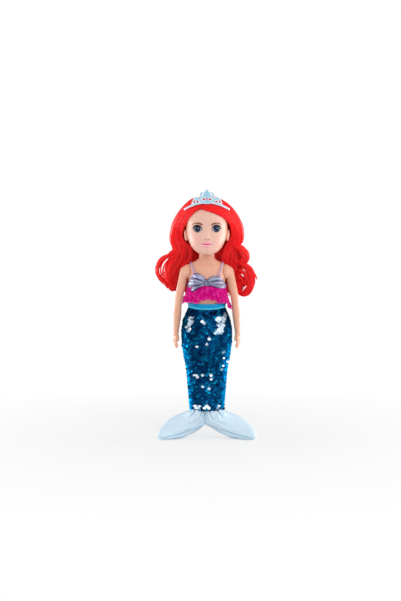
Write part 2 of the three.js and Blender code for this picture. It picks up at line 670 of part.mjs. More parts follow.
// Hair cap: half width, front and back at each height; the face comes through its front
const hairAt = through([
  [hairFoot, 0.86 * HAIR_HALF_WIDTH, 4, 0.82 * HAIR_BACK],
  [hairFoot + 0.18 * (hairTop - hairFoot), HAIR_HALF_WIDTH, 2, 0.96 * HAIR_BACK],
  [hairFoot + 0.36 * (hairTop - hairFoot), 0.97 * HAIR_HALF_WIDTH, -2, HAIR_BACK],
  [chinPlace + HAIRLINE_RISE - 10, 0.86 * HAIR_HALF_WIDTH, -0.42 * FACE_FRONT, 0.99 * HAIR_BACK],
  [chinPlace + HAIRLINE_RISE, 0.72 * HAIR_HALF_WIDTH, -0.93 * FACE_FRONT, 0.93 * HAIR_BACK],
  [chinPlace + HAIRLINE_RISE + 5, 0.63 * HAIR_HALF_WIDTH, -0.94 * FACE_FRONT, 0.86 * HAIR_BACK],
  [crownPlace - 3, 0.46 * HAIR_HALF_WIDTH, -0.68 * FACE_FRONT, 0.67 * HAIR_BACK],
  [crownPlace + 0.4 * HAIR_TOP, 0.27 * HAIR_HALF_WIDTH, -0.38 * FACE_FRONT, 0.42 * HAIR_BACK],
  [hairTop, 0.03 * HAIR_HALF_WIDTH, 0, 0.06 * HAIR_BACK],
]);

function hairSection(z, grow) {
  const [, halfWidth, front, back] = hairAt(z);
  return { halfWidth: halfWidth + grow, middle: (front + back) / 2, halfDepth: (back - front) / 2 + grow };
}

function hairForm(grow, count) {
  const height = hairTop - hairFoot;
  const heights = places(0, 1, 13).map((t) => hairFoot + height * Math.sin((t * Math.PI) / 2) ** 0.8);
  return loft(heights.map((z) => {
    const { halfWidth, middle, halfDepth } = hairSection(z, grow);
    return levelRing(0, middle, z + (z > crownPlace ? grow : 0), halfWidth, halfDepth, 2.1, count);
  }));
}

const headRoom = headForm(GAP, 19, 28).add(ears(GAP));
piece("hair_cap", hairForm(0, 24).subtract(headRoom), hair);

// The fringe: a flat swathe from the parting over the forehead to the left temple
const partingX = -0.3 * HEAD_HALF_WIDTH;
const fringeRun = new THREE.CatmullRomCurve3([
  [partingX, HAIRLINE_RISE + FRINGE_RISE],
  [0.1 * HEAD_HALF_WIDTH, HAIRLINE_RISE + 0.5 * FRINGE_RISE],
  [0.5 * HEAD_HALF_WIDTH, HAIRLINE_RISE - FRINGE_FALL / 6],
  [0.8 * HEAD_HALF_WIDTH, HAIRLINE_RISE - 0.56 * FRINGE_FALL],
  [0.96 * HEAD_HALF_WIDTH, HAIRLINE_RISE - FRINGE_FALL],
].map(([x, up]) => {
  const [, width, front, back] = headAt(up / HEAD_HEIGHT);
  const halfDepth = (front * FACE_FRONT + back * HEAD_BACK) / 2;
  const share = Math.max(0, 1 - Math.abs(x / (width * HEAD_HALF_WIDTH)) ** headPower) ** (1 / headPower);
  return new THREE.Vector3(x, halfDepth - front * FACE_FRONT - share * halfDepth, chinPlace + up);
}));
const fringe = loft(places(0, 1, 12).map((t) => {
  const out = new THREE.Vector3(0.8 * t, -1, 0.5 * (1 - t)).normalize();
  const along = fringeRun.getTangent(t);
  const wide = new THREE.Vector3().crossVectors(along, out).normalize();
  const swell = 0.35 + 0.65 * Math.sin(Math.PI * (0.15 + 0.7 * t));
  return ring(fringeRun.getPoint(t), wide.multiplyScalar(0.5 * FRINGE_WIDTH * swell),
    out.multiplyScalar(FRINGE_THICKNESS * swell), 2, 14);
}));
piece("hair_fringe", fringe.subtract(headRoom).subtract(hairForm(GAP, 24)), hair);

// Long locks: middle and half width at shares of the length, behind the arms, each ending in a curl
const lockFront = SHOULDER_RADIUS + LOCK_CLEARANCE;
const lockInner = 0.95 * SHOULDER_HALF_WIDTH;

function lock(side, length, bulges) {
  const lockAt = through(bulges);
  return loft(places(0, 1, 12).map((t) => {
    const [, outer, inner, depth] = lockAt(t);
    const halfDepth = (depth * LOCK_DEPTH) / 2;
    return levelRing((side * (outer + inner)) / 2, lockFront + LOCK_DEPTH / 2, neckTop - t * length,
      (outer - inner) / 2, halfDepth, 2.2, 14);
  }));
}

piece("hair_left_lock", lock(1, LEFT_LOCK_LENGTH, [
  [0, 0.66 * LOCK_REACH, lockInner, 0.9],
  [0.2, 0.86 * LOCK_REACH, lockInner, 1],
  [0.38, 0.82 * LOCK_REACH, lockInner + 0.2 * LOCK_INSET, 0.9],
  [0.58, LOCK_REACH, lockInner + 0.35 * LOCK_INSET, 1],
  [0.82, 0.93 * LOCK_REACH, lockInner + 0.5 * LOCK_INSET, 0.85],
  [0.96, 0.84 * LOCK_REACH, lockInner + 0.8 * LOCK_INSET, 0.5],
  [1, 0.78 * LOCK_REACH, lockInner + LOCK_INSET, 0.3],
]), hair);
piece("hair_right_lock", lock(-1, RIGHT_LOCK_LENGTH, [
  [0, 0.62 * LOCK_REACH, lockInner, 0.9],
  [0.18, 0.88 * LOCK_REACH, lockInner, 1],
  [0.48, LOCK_REACH, lockInner + 0.15 * LOCK_INSET, 1],
  [0.75, 0.9 * LOCK_REACH, lockInner + 0.25 * LOCK_INSET, 0.9],
  [0.93, 0.68 * LOCK_REACH, lockInner + 0.35 * LOCK_INSET, 0.6],
  [1, 0.58 * LOCK_REACH, lockInner + 0.45 * LOCK_INSET, 0.3],
]), hair);

// Back length: hangs behind the shoulders, the top and its closure
const backFront = Math.max(
  CHEST_HALF_DEPTH + 2 * (CLOTH + GAP) + 2 * GAP,
  WAIST_HALF_DEPTH + CLOTH + FRILL_FLARE + FRILL_FOLD + 3 * GAP);
const backAt = through([
  [0, 0.82, 0.9],
  [0.25, 0.92, 1],
  [0.5, 0.86, 0.85],
  [0.75, 0.94, 0.95],
  [0.95, 0.6, 0.6],
  [1, 0.4, 0.35],
]);
piece("hair_back", loft(places(0, 1, 11).map((t) => {
  const [, width, depth] = backAt(t);
  return levelRing(0, backFront + (BACK_HAIR_DEPTH * depth) / 2, neckTop - t * BACK_HAIR_LENGTH,
    width * (lockInner - GAP), (BACK_HAIR_DEPTH * depth) / 2, 2.6, 18);
})), hair);

// Tiara: a lobed plate bent round the front of the hair
const tiaraFoot = hairTop - TIARA_BELOW_TOP;

function tiaraPoint(angle, stand) {
  const z = tiaraFoot - TIARA_DROP * (angle / TIARA_SPAN) ** 2;
  const { halfWidth, middle, halfDepth } = hairSection(z, 2 * GAP + stand);
  return new THREE.Vector3(halfWidth * Math.sin(angle), middle - halfDepth * Math.cos(angle), z);
}

function tiaraHeight(x) {
  const lobe = (centre, half, top) => {
    const share = (Math.abs(x) - centre) / half;
    return top * Math.sqrt(Math.max(0, 1 - share * share));
  };
  const rise = TIARA_RISE - TIARA_BAND;
  return TIARA_BAND + Math.max(
    lobe(0, CENTRE_LOBE, rise - 1.4 * BEAD_RADIUS),
    lobe(0, BEAD_RADIUS, rise),
    lobe(CENTRE_LOBE + SIDE_LOBE, SIDE_LOBE, 0.52 * rise),
    lobe(CENTRE_LOBE + 2.6 * SIDE_LOBE, 0.6 * SIDE_LOBE, 0.2 * rise));
}

const plate = loft(places(-TIARA_SPAN, TIARA_SPAN, 56).map((angle) => {
  const inner = tiaraPoint(angle, 0);
  const outer = tiaraPoint(angle, TIARA_THICKNESS);
  const up = new THREE.Vector3(0, 0, tiaraHeight(inner.x));
  return [inner, outer, outer.clone().add(up), inner.clone().add(up)];
}));
const tiaraHoles = [
  [0.42 * CENTRE_LOBE, 0.62], [0.5 * CENTRE_LOBE, 0.32],
  [CENTRE_LOBE + 0.95 * SIDE_LOBE, 0.32],
].flatMap(([x, share]) => [-1, 1].map((side) => {
  const drop = TIARA_DROP * (x / (CENTRE_LOBE + 3.2 * SIDE_LOBE)) ** 2;
  const centre = new THREE.Vector3(side * x, 0, tiaraFoot - drop + share * TIARA_RISE);
  return rod(HOLE_RADIUS, -far, far, Y, centre, 12);
}));
piece("tiara", tiaraHoles.reduce((body, hole) => body.subtract(hole), plate),
  { color: "#bfe3f2", roughness: 0.2, metalness: 0.2 });

const stoneSeat = tiaraPoint(0, TIARA_THICKNESS).add(new THREE.Vector3(0, -GAP, STONE_RISE));
piece("tiara_stone", turned([
  [0, 0], [STONE_RADIUS, 0], [STONE_RADIUS, 0.3 * STONE_RADIUS], [0.55 * STONE_RADIUS, 0.75 * STONE_RADIUS],
  [0, 0.75 * STONE_RADIUS],
], new THREE.Vector3(0, -1, 0), stoneSeat, 8), { color: "#e878a8", roughness: 0.1, metalness: 0 });

// Top: cut from a layer of cloth that follows the torso
const layerTop = shoulderPlace + SHOULDER_TO_NECK_TOP / 2;
const layerFoot = waistPlace;

function clothLayer(under, thickness) {
  return torsoForm(under + thickness, layerFoot, layerTop)
    .subtract(torsoForm(under, layerFoot - 1, layerTop + 1));
}

// The bandeau's outline seen from the front, grown by a gap for what lies beside it.
function bandeauFront(grow) {
  const half = 2 * SHOULDER_HALF_WIDTH;
  const side = shoulderPlace - SIDE_DROP + grow;
  const foot = shoulderPlace - TOP_FOOT_DROP - grow;
  const outline = new THREE.Shape();
  outline.moveTo(-half, foot);
  outline.lineTo(-CUP_SPACING / 2, foot);
  outline.quadraticCurveTo(0, foot, 0, shoulderPlace - KNOT_FOOT_DROP - grow);
  outline.quadraticCurveTo(0, foot, CUP_SPACING / 2, foot);
  outline.lineTo(half, foot);
  outline.lineTo(half, side);
  outline.lineTo(0.92 * SHOULDER_HALF_WIDTH, side);
  outline.splineThru([
    new THREE.Vector2(CUP_SPACING / 2 + 4, shoulderPlace - CUP_DROP - 2 + grow),
    new THREE.Vector2(CUP_SPACING / 2, shoulderPlace - CUP_DROP + grow),
    new THREE.Vector2(0, shoulderPlace - DIP_DROP + grow),
    new THREE.Vector2(-CUP_SPACING / 2, shoulderPlace - CUP_DROP + grow),
    new THREE.Vector2(-CUP_SPACING / 2 - 4, shoulderPlace - CUP_DROP - 2 + grow),
    new THREE.Vector2(-0.92 * SHOULDER_HALF_WIDTH, side),
  ]);
  outline.lineTo(-half, side);
  return prism(outline, X, Z, 0, far);
}

function bandeauBack(grow) {
  return block([-far, 0, shoulderPlace - TOP_FOOT_DROP - grow], [far, far, shoulderPlace - SIDE_DROP + grow]);
}

const firstLayer = clothLayer(GAP, CLOTH);
piece("bandeau", firstLayer.intersect(bandeauFront(0).add(bandeauBack(0))), lilac);

const knotMiddle = shoulderPlace - (DIP_DROP + KNOT_FOOT_DROP) / 2;
const clothFront = torsoSection(knotMiddle, GAP + CLOTH)[1];
piece("bandeau_knot", ball(new THREE.Vector3(0, -clothFront, knotMiddle), KNOT_HALF_WIDTH, KNOT_STAND,
  0.55 * (KNOT_FOOT_DROP - DIP_DROP), 14).subtract(torsoForm(2 * GAP + CLOTH, layerFoot, layerTop)), lilac);

const bandeauRoom = bandeauFront(GAP).add(bandeauBack(GAP));
for (const [name, side] of [["left_strap", 1], ["right_strap", -1]]) {
  const low = shoulderPlace - TOP_FOOT_DROP;
  const high = shoulderPlace + 1.65 * SHOULDER_RISE;
  const run = (STRAP_TOP - STRAP_FOOT) / (SHOULDER_RISE + CUP_DROP);
  const place = (z) => STRAP_FOOT + run * Math.max(0, z - shoulderPlace + CUP_DROP);
  const outline = new THREE.Shape();
  outline.moveTo(side * (STRAP_FOOT - STRAP_WIDTH / 2), low);
  outline.lineTo(side * (STRAP_FOOT + STRAP_WIDTH / 2), low);
  outline.lineTo(side * (STRAP_FOOT + STRAP_WIDTH / 2), shoulderPlace - CUP_DROP);
  outline.lineTo(side * (place(high) + STRAP_WIDTH / 2), high);
  outline.lineTo(side * (place(high) - STRAP_WIDTH / 2), high);
  outline.lineTo(side * (STRAP_FOOT - STRAP_WIDTH / 2), shoulderPlace - CUP_DROP);
  const strip = prism(outline, X, Z, -far, far);
  piece(name, firstLayer.intersect(strip).subtract(bandeauRoom),
    { color: "#b7a3cf", roughness: 0.4, metalness: 0.1 });
}

const closureRoom = block([-CLOSURE_HALF_WIDTH, 0, shoulderPlace - TOP_FOOT_DROP],
  [CLOSURE_HALF_WIDTH, far, shoulderPlace - SIDE_DROP]);
piece("top_closure", clothLayer(2 * GAP + CLOTH, CLOTH).intersect(closureRoom),
  { color: "#d9d3e6", roughness: 0.9, metalness: 0 });

// Frill: tulle that flares from under the bandeau in folds
const frillTop = shoulderPlace - KNOT_FOOT_DROP;
const frillFoot = shoulderPlace - TOP_FOOT_DROP - FRILL_DROP;

function frillForm(grow, extra) {
  return loft(places(frillFoot - extra, frillTop + extra, 4).map((z) => {
    const share = THREE.MathUtils.clamp((frillTop - z) / (frillTop - frillFoot), 0, 1);
    const [halfWidth, halfDepth] = torsoSection(z, 0);
    const count = 4 * FRILL_FOLDS;
    const flat = levelRing(0, 0, z, 1, 1, torsoPower, count);
    return flat.map((point, i) => {
      const fold = 0.5 + 0.5 * Math.cos((2 * Math.PI * i * FRILL_FOLDS) / count);
      const stand = GAP + grow + share * (FRILL_FLARE + FRILL_FOLD * fold);
      const lift = share * FRILL_ARCH * Math.max(0, -point.y) ** 6;
      return new THREE.Vector3(point.x * (halfWidth + stand), point.y * (halfDepth + stand), z + lift);
    });
  }));
}

piece("frill", frillForm(CLOTH, 0).subtract(frillForm(0, 1)).subtract(bandeauRoom),
  { color: "#e0218a", roughness: 0.6, metalness: 0 });

// Waistband
const bandFoot = waistPlace - BAND_HEIGHT / 2;
piece("waistband", torsoForm(GAP + BAND_THICKNESS, bandFoot, waistPlace + BAND_HEIGHT / 2)
  .subtract(torsoForm(GAP, bandFoot - 1, waistPlace + BAND_HEIGHT / 2 + 1)),
{ color: "#0a96d0", roughness: 0.4, metalness: 0.1 });

// Tail sleeve: half width, half depth and middle at each height, off the legs by the ease of the cloth
const [bandHalfWidth, bandHalfDepth] = torsoSection(bandFoot, GAP + BAND_THICKNESS);
const off = TAIL_EASE + CLOTH;
const sleeveAt = through([
  [HEM_HEIGHT, HEM_HALF_WIDTH, FOOT_LENGTH / 2 + off, -FOOT_FORWARD],
  [calfPlace, LEG_SPACE / 2 + 2 * CALF_RADIUS + off, CALF_RADIUS + 1.6 * off, -0.4 * FOOT_FORWARD],
  [kneePlace, LEG_SPACE / 2 + 2 * KNEE_RADIUS + off, KNEE_RADIUS + 1.7 * off, -0.1 * FOOT_FORWARD],
  [thighPlace, LEG_SPACE / 2 + 2 * THIGH_RADIUS + off, THIGH_RADIUS + 1.7 * off, 0],
  [hipPlace, discInner + LEG_DISC_WIDTH + off, LEG_DISC_RADIUS + off, 0],
  [legTop, discInner + LEG_DISC_WIDTH + 0.7 * off, Math.max(LEG_DISC_RADIUS, HIP_HALF_DEPTH) + 0.7 * off, 0],
  [bandFoot - GAP, bandHalfWidth, bandHalfDepth, 0],
]);

function sleeveForm(shrink, extra) {
  return loft(places(HEM_HEIGHT - extra, bandFoot - GAP + extra, 10).map((z) => {
    const [, halfWidth, halfDepth, middle] = sleeveAt(z);
    return levelRing(0, middle, z, halfWidth - shrink, halfDepth - shrink, torsoPower, FINE);
  }));
}

piece("tail_sleeve", sleeveForm(0, 0).subtract(sleeveForm(CLOTH, 0.5)),
  { color: "#123a8c", roughness: 0.35, metalness: 0.5 });

// Fins: stuffed lobes that swell from the notch, taper to the tip and are pressed flat on the floor
const finTop = HEM_HEIGHT - GAP;
const finAt = through([
  [0, NOTCH_HEIGHT, finTop, 0, 0.86],
  [0.16, 0.68 * NOTCH_HEIGHT, finTop, 0, 0.98],
  [0.32, 0.36 * NOTCH_HEIGHT, 0.985 * finTop, 0.01, 1],
  [0.42, 0.14 * NOTCH_HEIGHT, 1.16 * FIN_HEIGHT, 0.04, 1],
  [0.5, -FLAT_DEPTH, 1.09 * FIN_HEIGHT, 0.1, 0.99],
  [0.66, -FLAT_DEPTH, 0.94 * FIN_HEIGHT, 0.32, 0.94],
  [0.83, -FLAT_DEPTH, 0.72 * FIN_HEIGHT, 0.68, 0.8],
  [0.95, 0.02 * FIN_HEIGHT, 0.47 * FIN_HEIGHT, 0.93, 0.56],
  [1, 0.12 * FIN_HEIGHT, 0.34 * FIN_HEIGHT, 1, 0.3],
]);

function fin(side) {
  const reach = FIN_REACH - GAP / 2;
  const lobe = loft(places(0, 1, 14).map((t) => {
    const along = Math.sin((t * Math.PI) / 2) ** 1.15;
    const [, low, high, sweep, depth] = finAt(along);
    const x = side * (GAP / 2 + reach * along);
    const centre = new THREE.Vector3(x, FIN_BACK - sweep * FIN_SWEEP, (low + high) / 2);
    const halfDepth = new THREE.Vector3(0, (depth * FIN_DEPTH) / 2, 0);
    const halfHeight = new THREE.Vector3(0, 0, (high - low) / 2);
    return ring(centre, halfDepth, halfHeight, 2.6, SIDES);
  }));
  return lobe.intersect(block([-far, -far, 0], [far, far, far]));
}

piece("left_fin", fin(1), ice);
piece("right_fin", fin(-1), ice);

export default doll;
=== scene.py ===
import bpy
import numpy as np
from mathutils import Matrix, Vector


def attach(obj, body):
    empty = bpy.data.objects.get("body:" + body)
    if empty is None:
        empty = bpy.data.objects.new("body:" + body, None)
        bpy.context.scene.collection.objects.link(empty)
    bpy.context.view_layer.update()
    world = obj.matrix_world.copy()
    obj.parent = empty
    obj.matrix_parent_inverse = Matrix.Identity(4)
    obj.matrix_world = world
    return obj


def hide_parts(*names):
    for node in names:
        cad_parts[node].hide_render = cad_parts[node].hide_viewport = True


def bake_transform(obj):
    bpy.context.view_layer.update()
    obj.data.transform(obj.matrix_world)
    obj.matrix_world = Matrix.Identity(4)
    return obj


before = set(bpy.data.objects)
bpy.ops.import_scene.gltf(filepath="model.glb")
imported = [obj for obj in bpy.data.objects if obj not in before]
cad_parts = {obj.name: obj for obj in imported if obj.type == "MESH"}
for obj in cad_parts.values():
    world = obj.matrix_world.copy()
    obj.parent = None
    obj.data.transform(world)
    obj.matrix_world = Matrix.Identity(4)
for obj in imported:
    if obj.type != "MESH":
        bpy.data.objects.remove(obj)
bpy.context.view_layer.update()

MM = 0.001
BODY_Y = -3.0  # the doll's upright axis
scene = bpy.context.scene
scene.view_settings.view_transform = "Standard"
draw = np.random.default_rng(12)

# Camera, a little above the doll, so that the fins show their tops
PHOTO_WIDTH = 401
PHOTO_HEIGHT = 601
MM_PER_PIXEL = 1.255
FLOOR_ROW = 439.5
MIDDLE_COLUMN = 206.8
CAMERA_DISTANCE = 1800.0
CAMERA_RISE = np.radians(3.5)
SENSOR = 36.0

aim = Vector((
    (PHOTO_WIDTH / 2 - MIDDLE_COLUMN) * MM_PER_PIXEL,
    BODY_Y,
    (FLOOR_ROW - PHOTO_HEIGHT / 2) * MM_PER_PIXEL,
)) * MM
eye_point = aim + CAMERA_DISTANCE * MM * Vector((0, -np.cos(CAMERA_RISE), np.sin(CAMERA_RISE)))
lens_data = bpy.data.cameras.new("camera")
lens_data.sensor_width = SENSOR
lens_data.lens = SENSOR * CAMERA_DISTANCE / (PHOTO_HEIGHT * MM_PER_PIXEL)
camera = bpy.data.objects.new("camera", lens_data)
camera.location = eye_point
camera.rotation_mode = "QUATERNION"
camera.rotation_quaternion = (aim - eye_point).to_track_quat("-Z", "Y")
scene.collection.objects.link(camera)
scene.camera = camera


# Shapes

def through(rows):
    """A smooth run through rows of place and values that never overshoots them: cubic pieces whose slope at a
    row is the harmonic mean of the slopes beside it, or level at a turning point. Gives one array per
    value."""
    rows = np.array(rows, float)
    place, value = rows[:, 0], rows[:, 1:]
    step = np.diff(place)
    rise = np.diff(value, axis=0) / step[:, None]
    slope = np.zeros_like(value)
    slope[0], slope[-1] = rise[0], rise[-1]
    before, after = rise[:-1], rise[1:]
    same = before * after > 0
    slope[1:-1] = np.where(same, 2 * before * after / np.where(same, before + after, 1), 0)

    def at(wanted):
        """The values at wanted places, level beyond the first and the last row."""
        wanted = np.asarray(wanted, float)
        i = np.clip(np.searchsorted(place, wanted, side="right") - 1, 0, len(step) - 1)
        t = np.clip((wanted - place[i]) / step[i], 0, 1)[..., None]
        s = 1 - t
        run = step[i][..., None]
        found = (s * s * (1 + 2 * t) * value[i] + t * t * (1 + 2 * s) * value[i + 1]
                 + run * t * s * (s * slope[i] - t * slope[i + 1]))
        return np.moveaxis(found, -1, 0)

    return at


def between(a, b, c, d, t):
    """A Catmull-Rom cubic from b to c at t, where a comes before them and d after them."""
    return 0.5 * (2 * b + (c - a) * t + (2 * a - 5 * b + 4 * c - d) * t ** 2
                  + (3 * b - a - 3 * c + d) * t ** 3)


def smooth_run(points, share):
    """A Catmull-Rom run through evenly numbered points (first axis), read at shares of the way, 0 to 1."""
    points = np.asarray(points, float)
    last = len(points) - 1
    padded = np.concatenate([2 * points[:1] - points[1:2], points, 2 * points[-1:] - points[-2:-1]])
    place = np.clip(np.asarray(share, float), 0, 1) * last
    i = np.minimum(place.astype(int), last - 1)
    t = (place - i).reshape(place.shape + (1,) * (points.ndim - 1))
    return between(*(padded[i + k] for k in range(4)), t)


def ease(low, high, x):
    """0 below low, 1 above high, and a smooth S between them."""
    t = np.clip((x - low) / (high - low), 0, 1)
    return t * t * (3 - 2 * t)


def hump(x, middle, half):
    """A bell of height 1 about a middle, down to 1/e at half on each side."""
    return np.exp(-((x - middle) / half) ** 2)


def unit(v):
    """Vectors of length 1 in the same directions."""
    return v / np.maximum(np.linalg.norm(v, axis=-1, keepdims=True), 1e-9)


def squared(angle, power):
    """Sine and cosine of a superellipse of that power, so that 2 is a circle and more is squarer."""
    s, c = np.sin(angle), np.cos(angle)
    return np.sign(s) * np.abs(s) ** (2 / power), np.sign(c) * np.abs(c) ** (2 / power)


def skin_faces(rows, columns, wrap):
    """Quads between neighbours of a grid of points; wrap joins the last column to the first."""
    r = np.arange(rows - 1)[:, None] * columns
    c = np.arange(columns if wrap else columns - 1)[None, :]
    n = (c + 1) % columns
    return np.stack([r + c, r + n, r + columns + n, r + columns + c], -1).reshape(-1, 4)


def loft(rings):
    """A closed body over a stack of rings (rows, columns, 3): quads between rings, and a fan at each end."""
    rows, columns = rings.shape[:2]
    points = np.concatenate([rings.reshape(-1, 3), rings[:1].mean(1), rings[-1:].mean(1)])
    c = np.arange(columns)
    n = (c + 1) % columns
    end = (rows - 1) * columns
    first = np.full(columns, rows * columns)
    fans = np.concatenate([np.stack([first, n, c], -1), np.stack([first + 1, end + c, end + n], -1)])
    return points, [skin_faces(rows, columns, True), fans]


def shell(outer, inner, wrap):
    """A closed thin body between two layers of one grid, walled along the grid's open edges."""
    rows, columns = outer.shape[:2]
    count = rows * columns
    points = np.concatenate([outer.reshape(-1, 3), inner.reshape(-1, 3)])
    front = skin_faces(rows, columns, wrap)
    c = np.arange(columns if wrap else columns - 1)
    n = (c + 1) % columns
    end = (rows - 1) * columns
    walls = [np.stack([n, c, c + count, n + count], -1),
             np.stack([end + c, end + n, end + n + count, end + c + count], -1)]
    if not wrap:
        r = np.arange(rows - 1) * columns
        m = r + columns
        side = columns - 1
        walls.append(np.stack([r, m, m + count, r + count], -1))
        walls.append(np.stack([m + side, r + side, r + side + count, m + side + count], -1))
    return points, [np.concatenate([front, front[:, ::-1] + count, *walls])]


def grid_normals(points, wrap):
    """Unit normals of a grid of points, from its slopes along and across."""
    if wrap:
        wide = np.concatenate([points[:, -1:], points, points[:, :1]], 1)
        across = (wide[:, 2:] - wide[:, :-2]) / 2
    else:
        across = np.gradient(points, axis=1)
    return unit(np.cross(across, np.gradient(points, axis=0)))


def cloth(points, thickness, wrap):
    """A sheet of cloth: a grid of points as its face, and the grid moved in along its normals as its back."""
    return shell(points, points - thickness * grid_normals(points, wrap), wrap)


def tubes(paths, radii, sides):
    """Many tubes at once along paths (tubes, steps, 3): each ring turns with its path without twisting, and
    each end is closed by one face."""
    count, steps = paths.shape[:2]
    along = unit(np.gradient(paths, axis=1))
    start = np.where(np.abs(along[:, 0, :1]) < 0.8, [[1.0, 0, 0]], [[0, 1.0, 0]])
    normal = np.empty_like(paths)
    held = start
    for i in range(steps):
        held = unit(held - (held * along[:, i]).sum(-1, keepdims=True) * along[:, i])
        normal[:, i] = held
    binormal = np.cross(along, normal)
    angle = 2 * np.pi * np.arange(sides) / sides
    ring = np.cos(angle)[:, None] * normal[:, :, None] + np.sin(angle)[:, None] * binormal[:, :, None]
    points = (paths[:, :, None] + radii[:, :, None, None] * ring).reshape(-1, 3)
    base = (np.arange(count) * steps * sides)[:, None]
    quads = (base[:, :, None] + skin_faces(steps, sides, True)[None]).reshape(-1, 4)
    k = np.arange(sides)[None]
    ends = np.concatenate([base + k[:, ::-1], base + (steps - 1) * sides + k])
    return points, [quads, ends]


def joined(parts):
    """Several bodies as one set of points and faces."""
    points, faces, start = [], [], 0
    for p, f in parts:
        points.append(p)
        faces += [g + start for g in f]
        start += len(p)
    return np.concatenate(points), faces


def volume(points, faces):
    """Signed volume of a closed body, over a fan of each face."""
    total = 0.0
    for f in faces:
        for k in range(1, f.shape[1] - 1):
            a, b, c = points[f[:, 0]], points[f[:, k]], points[f[:, k + 1]]
            total += (a * np.cross(b, c)).sum() / 6
    return total


def bare_mesh(name, body):
    """A mesh of points in millimetres and faces of any number of corners, with its faces outward."""
    points, faces = body
    if volume(points, faces) < 0:
        faces = [f[:, ::-1] for f in faces]
    corners = np.concatenate([f.ravel() for f in faces])
    sizes = np.concatenate([np.full(len(f), f.shape[1]) for f in faces])
    mesh = bpy.data.meshes.new(name)
    mesh.vertices.add(len(points))
    mesh.vertices.foreach_set("co", (points * MM).astype(np.float32).ravel())
    mesh.loops.add(len(corners))
    mesh.loops.foreach_set("vertex_index", corners.astype(np.int32))
    mesh.polygons.add(len(sizes))
    mesh.polygons.foreach_set("loop_start", (np.cumsum(sizes) - sizes).astype(np.int32))
    mesh.update(calc_edges=True)
    return mesh, corners


def piece(name, body, look, slot, rides, stands_for=(), crease=60, uv=None, **tones):
    """A named piece of the doll: its body, finish, record slot, which is not used, the body that it rides on
    if it does, and the nodes that it stands for. Edges that turn more than crease degrees stay sharp. uv and
    tones hold one value per point."""
    mesh, corners = bare_mesh(name, body)
    mesh.polygons.foreach_set("use_smooth", np.ones(len(mesh.polygons), bool))
    mesh.set_sharp_from_angle(angle=np.radians(crease))
    if uv is not None:
        layer = mesh.uv_layers.new(name="UVMap")
        layer.data.foreach_set("uv", uv[corners].astype(np.float32).ravel())
    for label, values in tones.items():
        layer = mesh.attributes.new(label, "FLOAT", "POINT")
        layer.data.foreach_set("value", values.astype(np.float32).ravel())
    mesh.materials.append(look)
    made = bpy.data.objects.new(name, mesh)
    scene.collection.objects.link(made)
    if stands_for:
        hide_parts(*stands_for)
    if rides:
        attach(made, rides)
    return made


def fused(parts, voxel, rounds):
    """Overlapping closed bodies as one smooth skin: a voxel remesh, then rounds of smoothing."""
    mesh, _ = bare_mesh("fusing", joined(parts))
    made = bpy.data.objects.new("fusing", mesh)
    scene.collection.objects.link(made)
    remesh = made.modifiers.new("remesh", "REMESH")
    remesh.mode = "VOXEL"
    remesh.voxel_size = voxel * MM
    smooth = made.modifiers.new("smooth", "SMOOTH")
    smooth.factor = 0.5
    smooth.iterations = rounds
    solid = bpy.data.meshes.new_from_object(made.evaluated_get(bpy.context.evaluated_depsgraph_get()))
    points = np.empty(len(solid.vertices) * 3, np.float32)
    solid.vertices.foreach_get("co", points)
    corners = np.empty(len(solid.loops), np.int32)
    solid.loops.foreach_get("vertex_index", corners)
    quads = corners.reshape(-1, 4)
    bpy.data.objects.remove(made)
    bpy.data.meshes.remove(mesh)
    bpy.data.meshes.remove(solid)
    return points.reshape(-1, 3).astype(float) / MM, [quads]


# Finishes
GRAIN_DEPTH = 0.0002  # of moulded plastic, in metres
FILM_DEPTH = 0.0003  # of the waves in sequin film, and of the net
THREAD_DEPTH = 0.00015
THREADS = 5200 / 6  # wave scale of woven cloth
CATCHLIGHTS = [(0.08, 0.11, 0.042), (-0.09, -0.11, 0.018)]  # across, up and radius on the eye's map
EYE_MAP = 10.0  # millimetres to one unit of the eye's map
IRIS_EDGE = 0.34


def finish(name, **values):
    """A new finish; values that are the same all over are set on the shader's own sockets."""
    material = bpy.data.materials.new(name)
    material.use_nodes = True
    tree = material.node_tree
    shader = next(n for n in tree.nodes if n.type == "BSDF_PRINCIPLED")
    for socket, value in values.items():
        shader.inputs[socket.replace("_", " ")].default_value = value
    return material, tree, shader


def node(tree, kind, values=None, **settings):
    """A shader node with its settings, its sockets linked or set."""
    made = tree.nodes.new("ShaderNode" + kind)
    for key, value in settings.items():
        setattr(made, key, value)
    for key, value in (values or {}).items():
        if isinstance(value, bpy.types.NodeSocket):
            tree.links.new(value, made.inputs[key])
        else:
            made.inputs[key].default_value = value
    return made


def rgb(red, green, blue):
    """A colour for a socket."""
    return (red, green, blue, 1.0)


def toned(base, share):
    """A colour made darker or lighter by a share, up to full strength."""
    return tuple(min(1.0, share * v) for v in base[:3]) + (1.0,)


def mix(tree, share, first, second):
    """Two colours mixed."""
    return node(tree, "Mix", {0: share, 6: first, 7: second}, data_type="RGBA").outputs[2]


def ramp(tree, value, stops):
    """A colour ramp over stops of place and colour."""
    made = node(tree, "ValToRGB", {0: value})
    points = made.color_ramp.elements
    while len(points) < len(stops):
        points.new(1.0)
    for point, (place, colour) in zip(points, stops):
        point.position = place
        point.color = colour
    return made.outputs[0]


def tone(tree, name):
    """A per-point value of the mesh."""
    return node(tree, "Attribute", attribute_name=name).outputs["Fac"]


def object_place(tree):
    """The place in the doll's frame, in metres."""
    return node(tree, "TexCoord").outputs["Object"]


def speckle(tree, place, scale, detail=2.0):
    """Smooth noise of a given fineness."""
    return node(tree, "TexNoise", {"Vector": place, "Scale": scale, "Detail": detail}).outputs[0]


def relief(tree, shader, height, strength, depth):
    """A bump of a depth in metres on the shader's normal."""
    made = node(tree, "Bump", {"Height": height, "Strength": strength, "Distance": depth})
    tree.links.new(made.outputs[0], shader.inputs["Normal"])


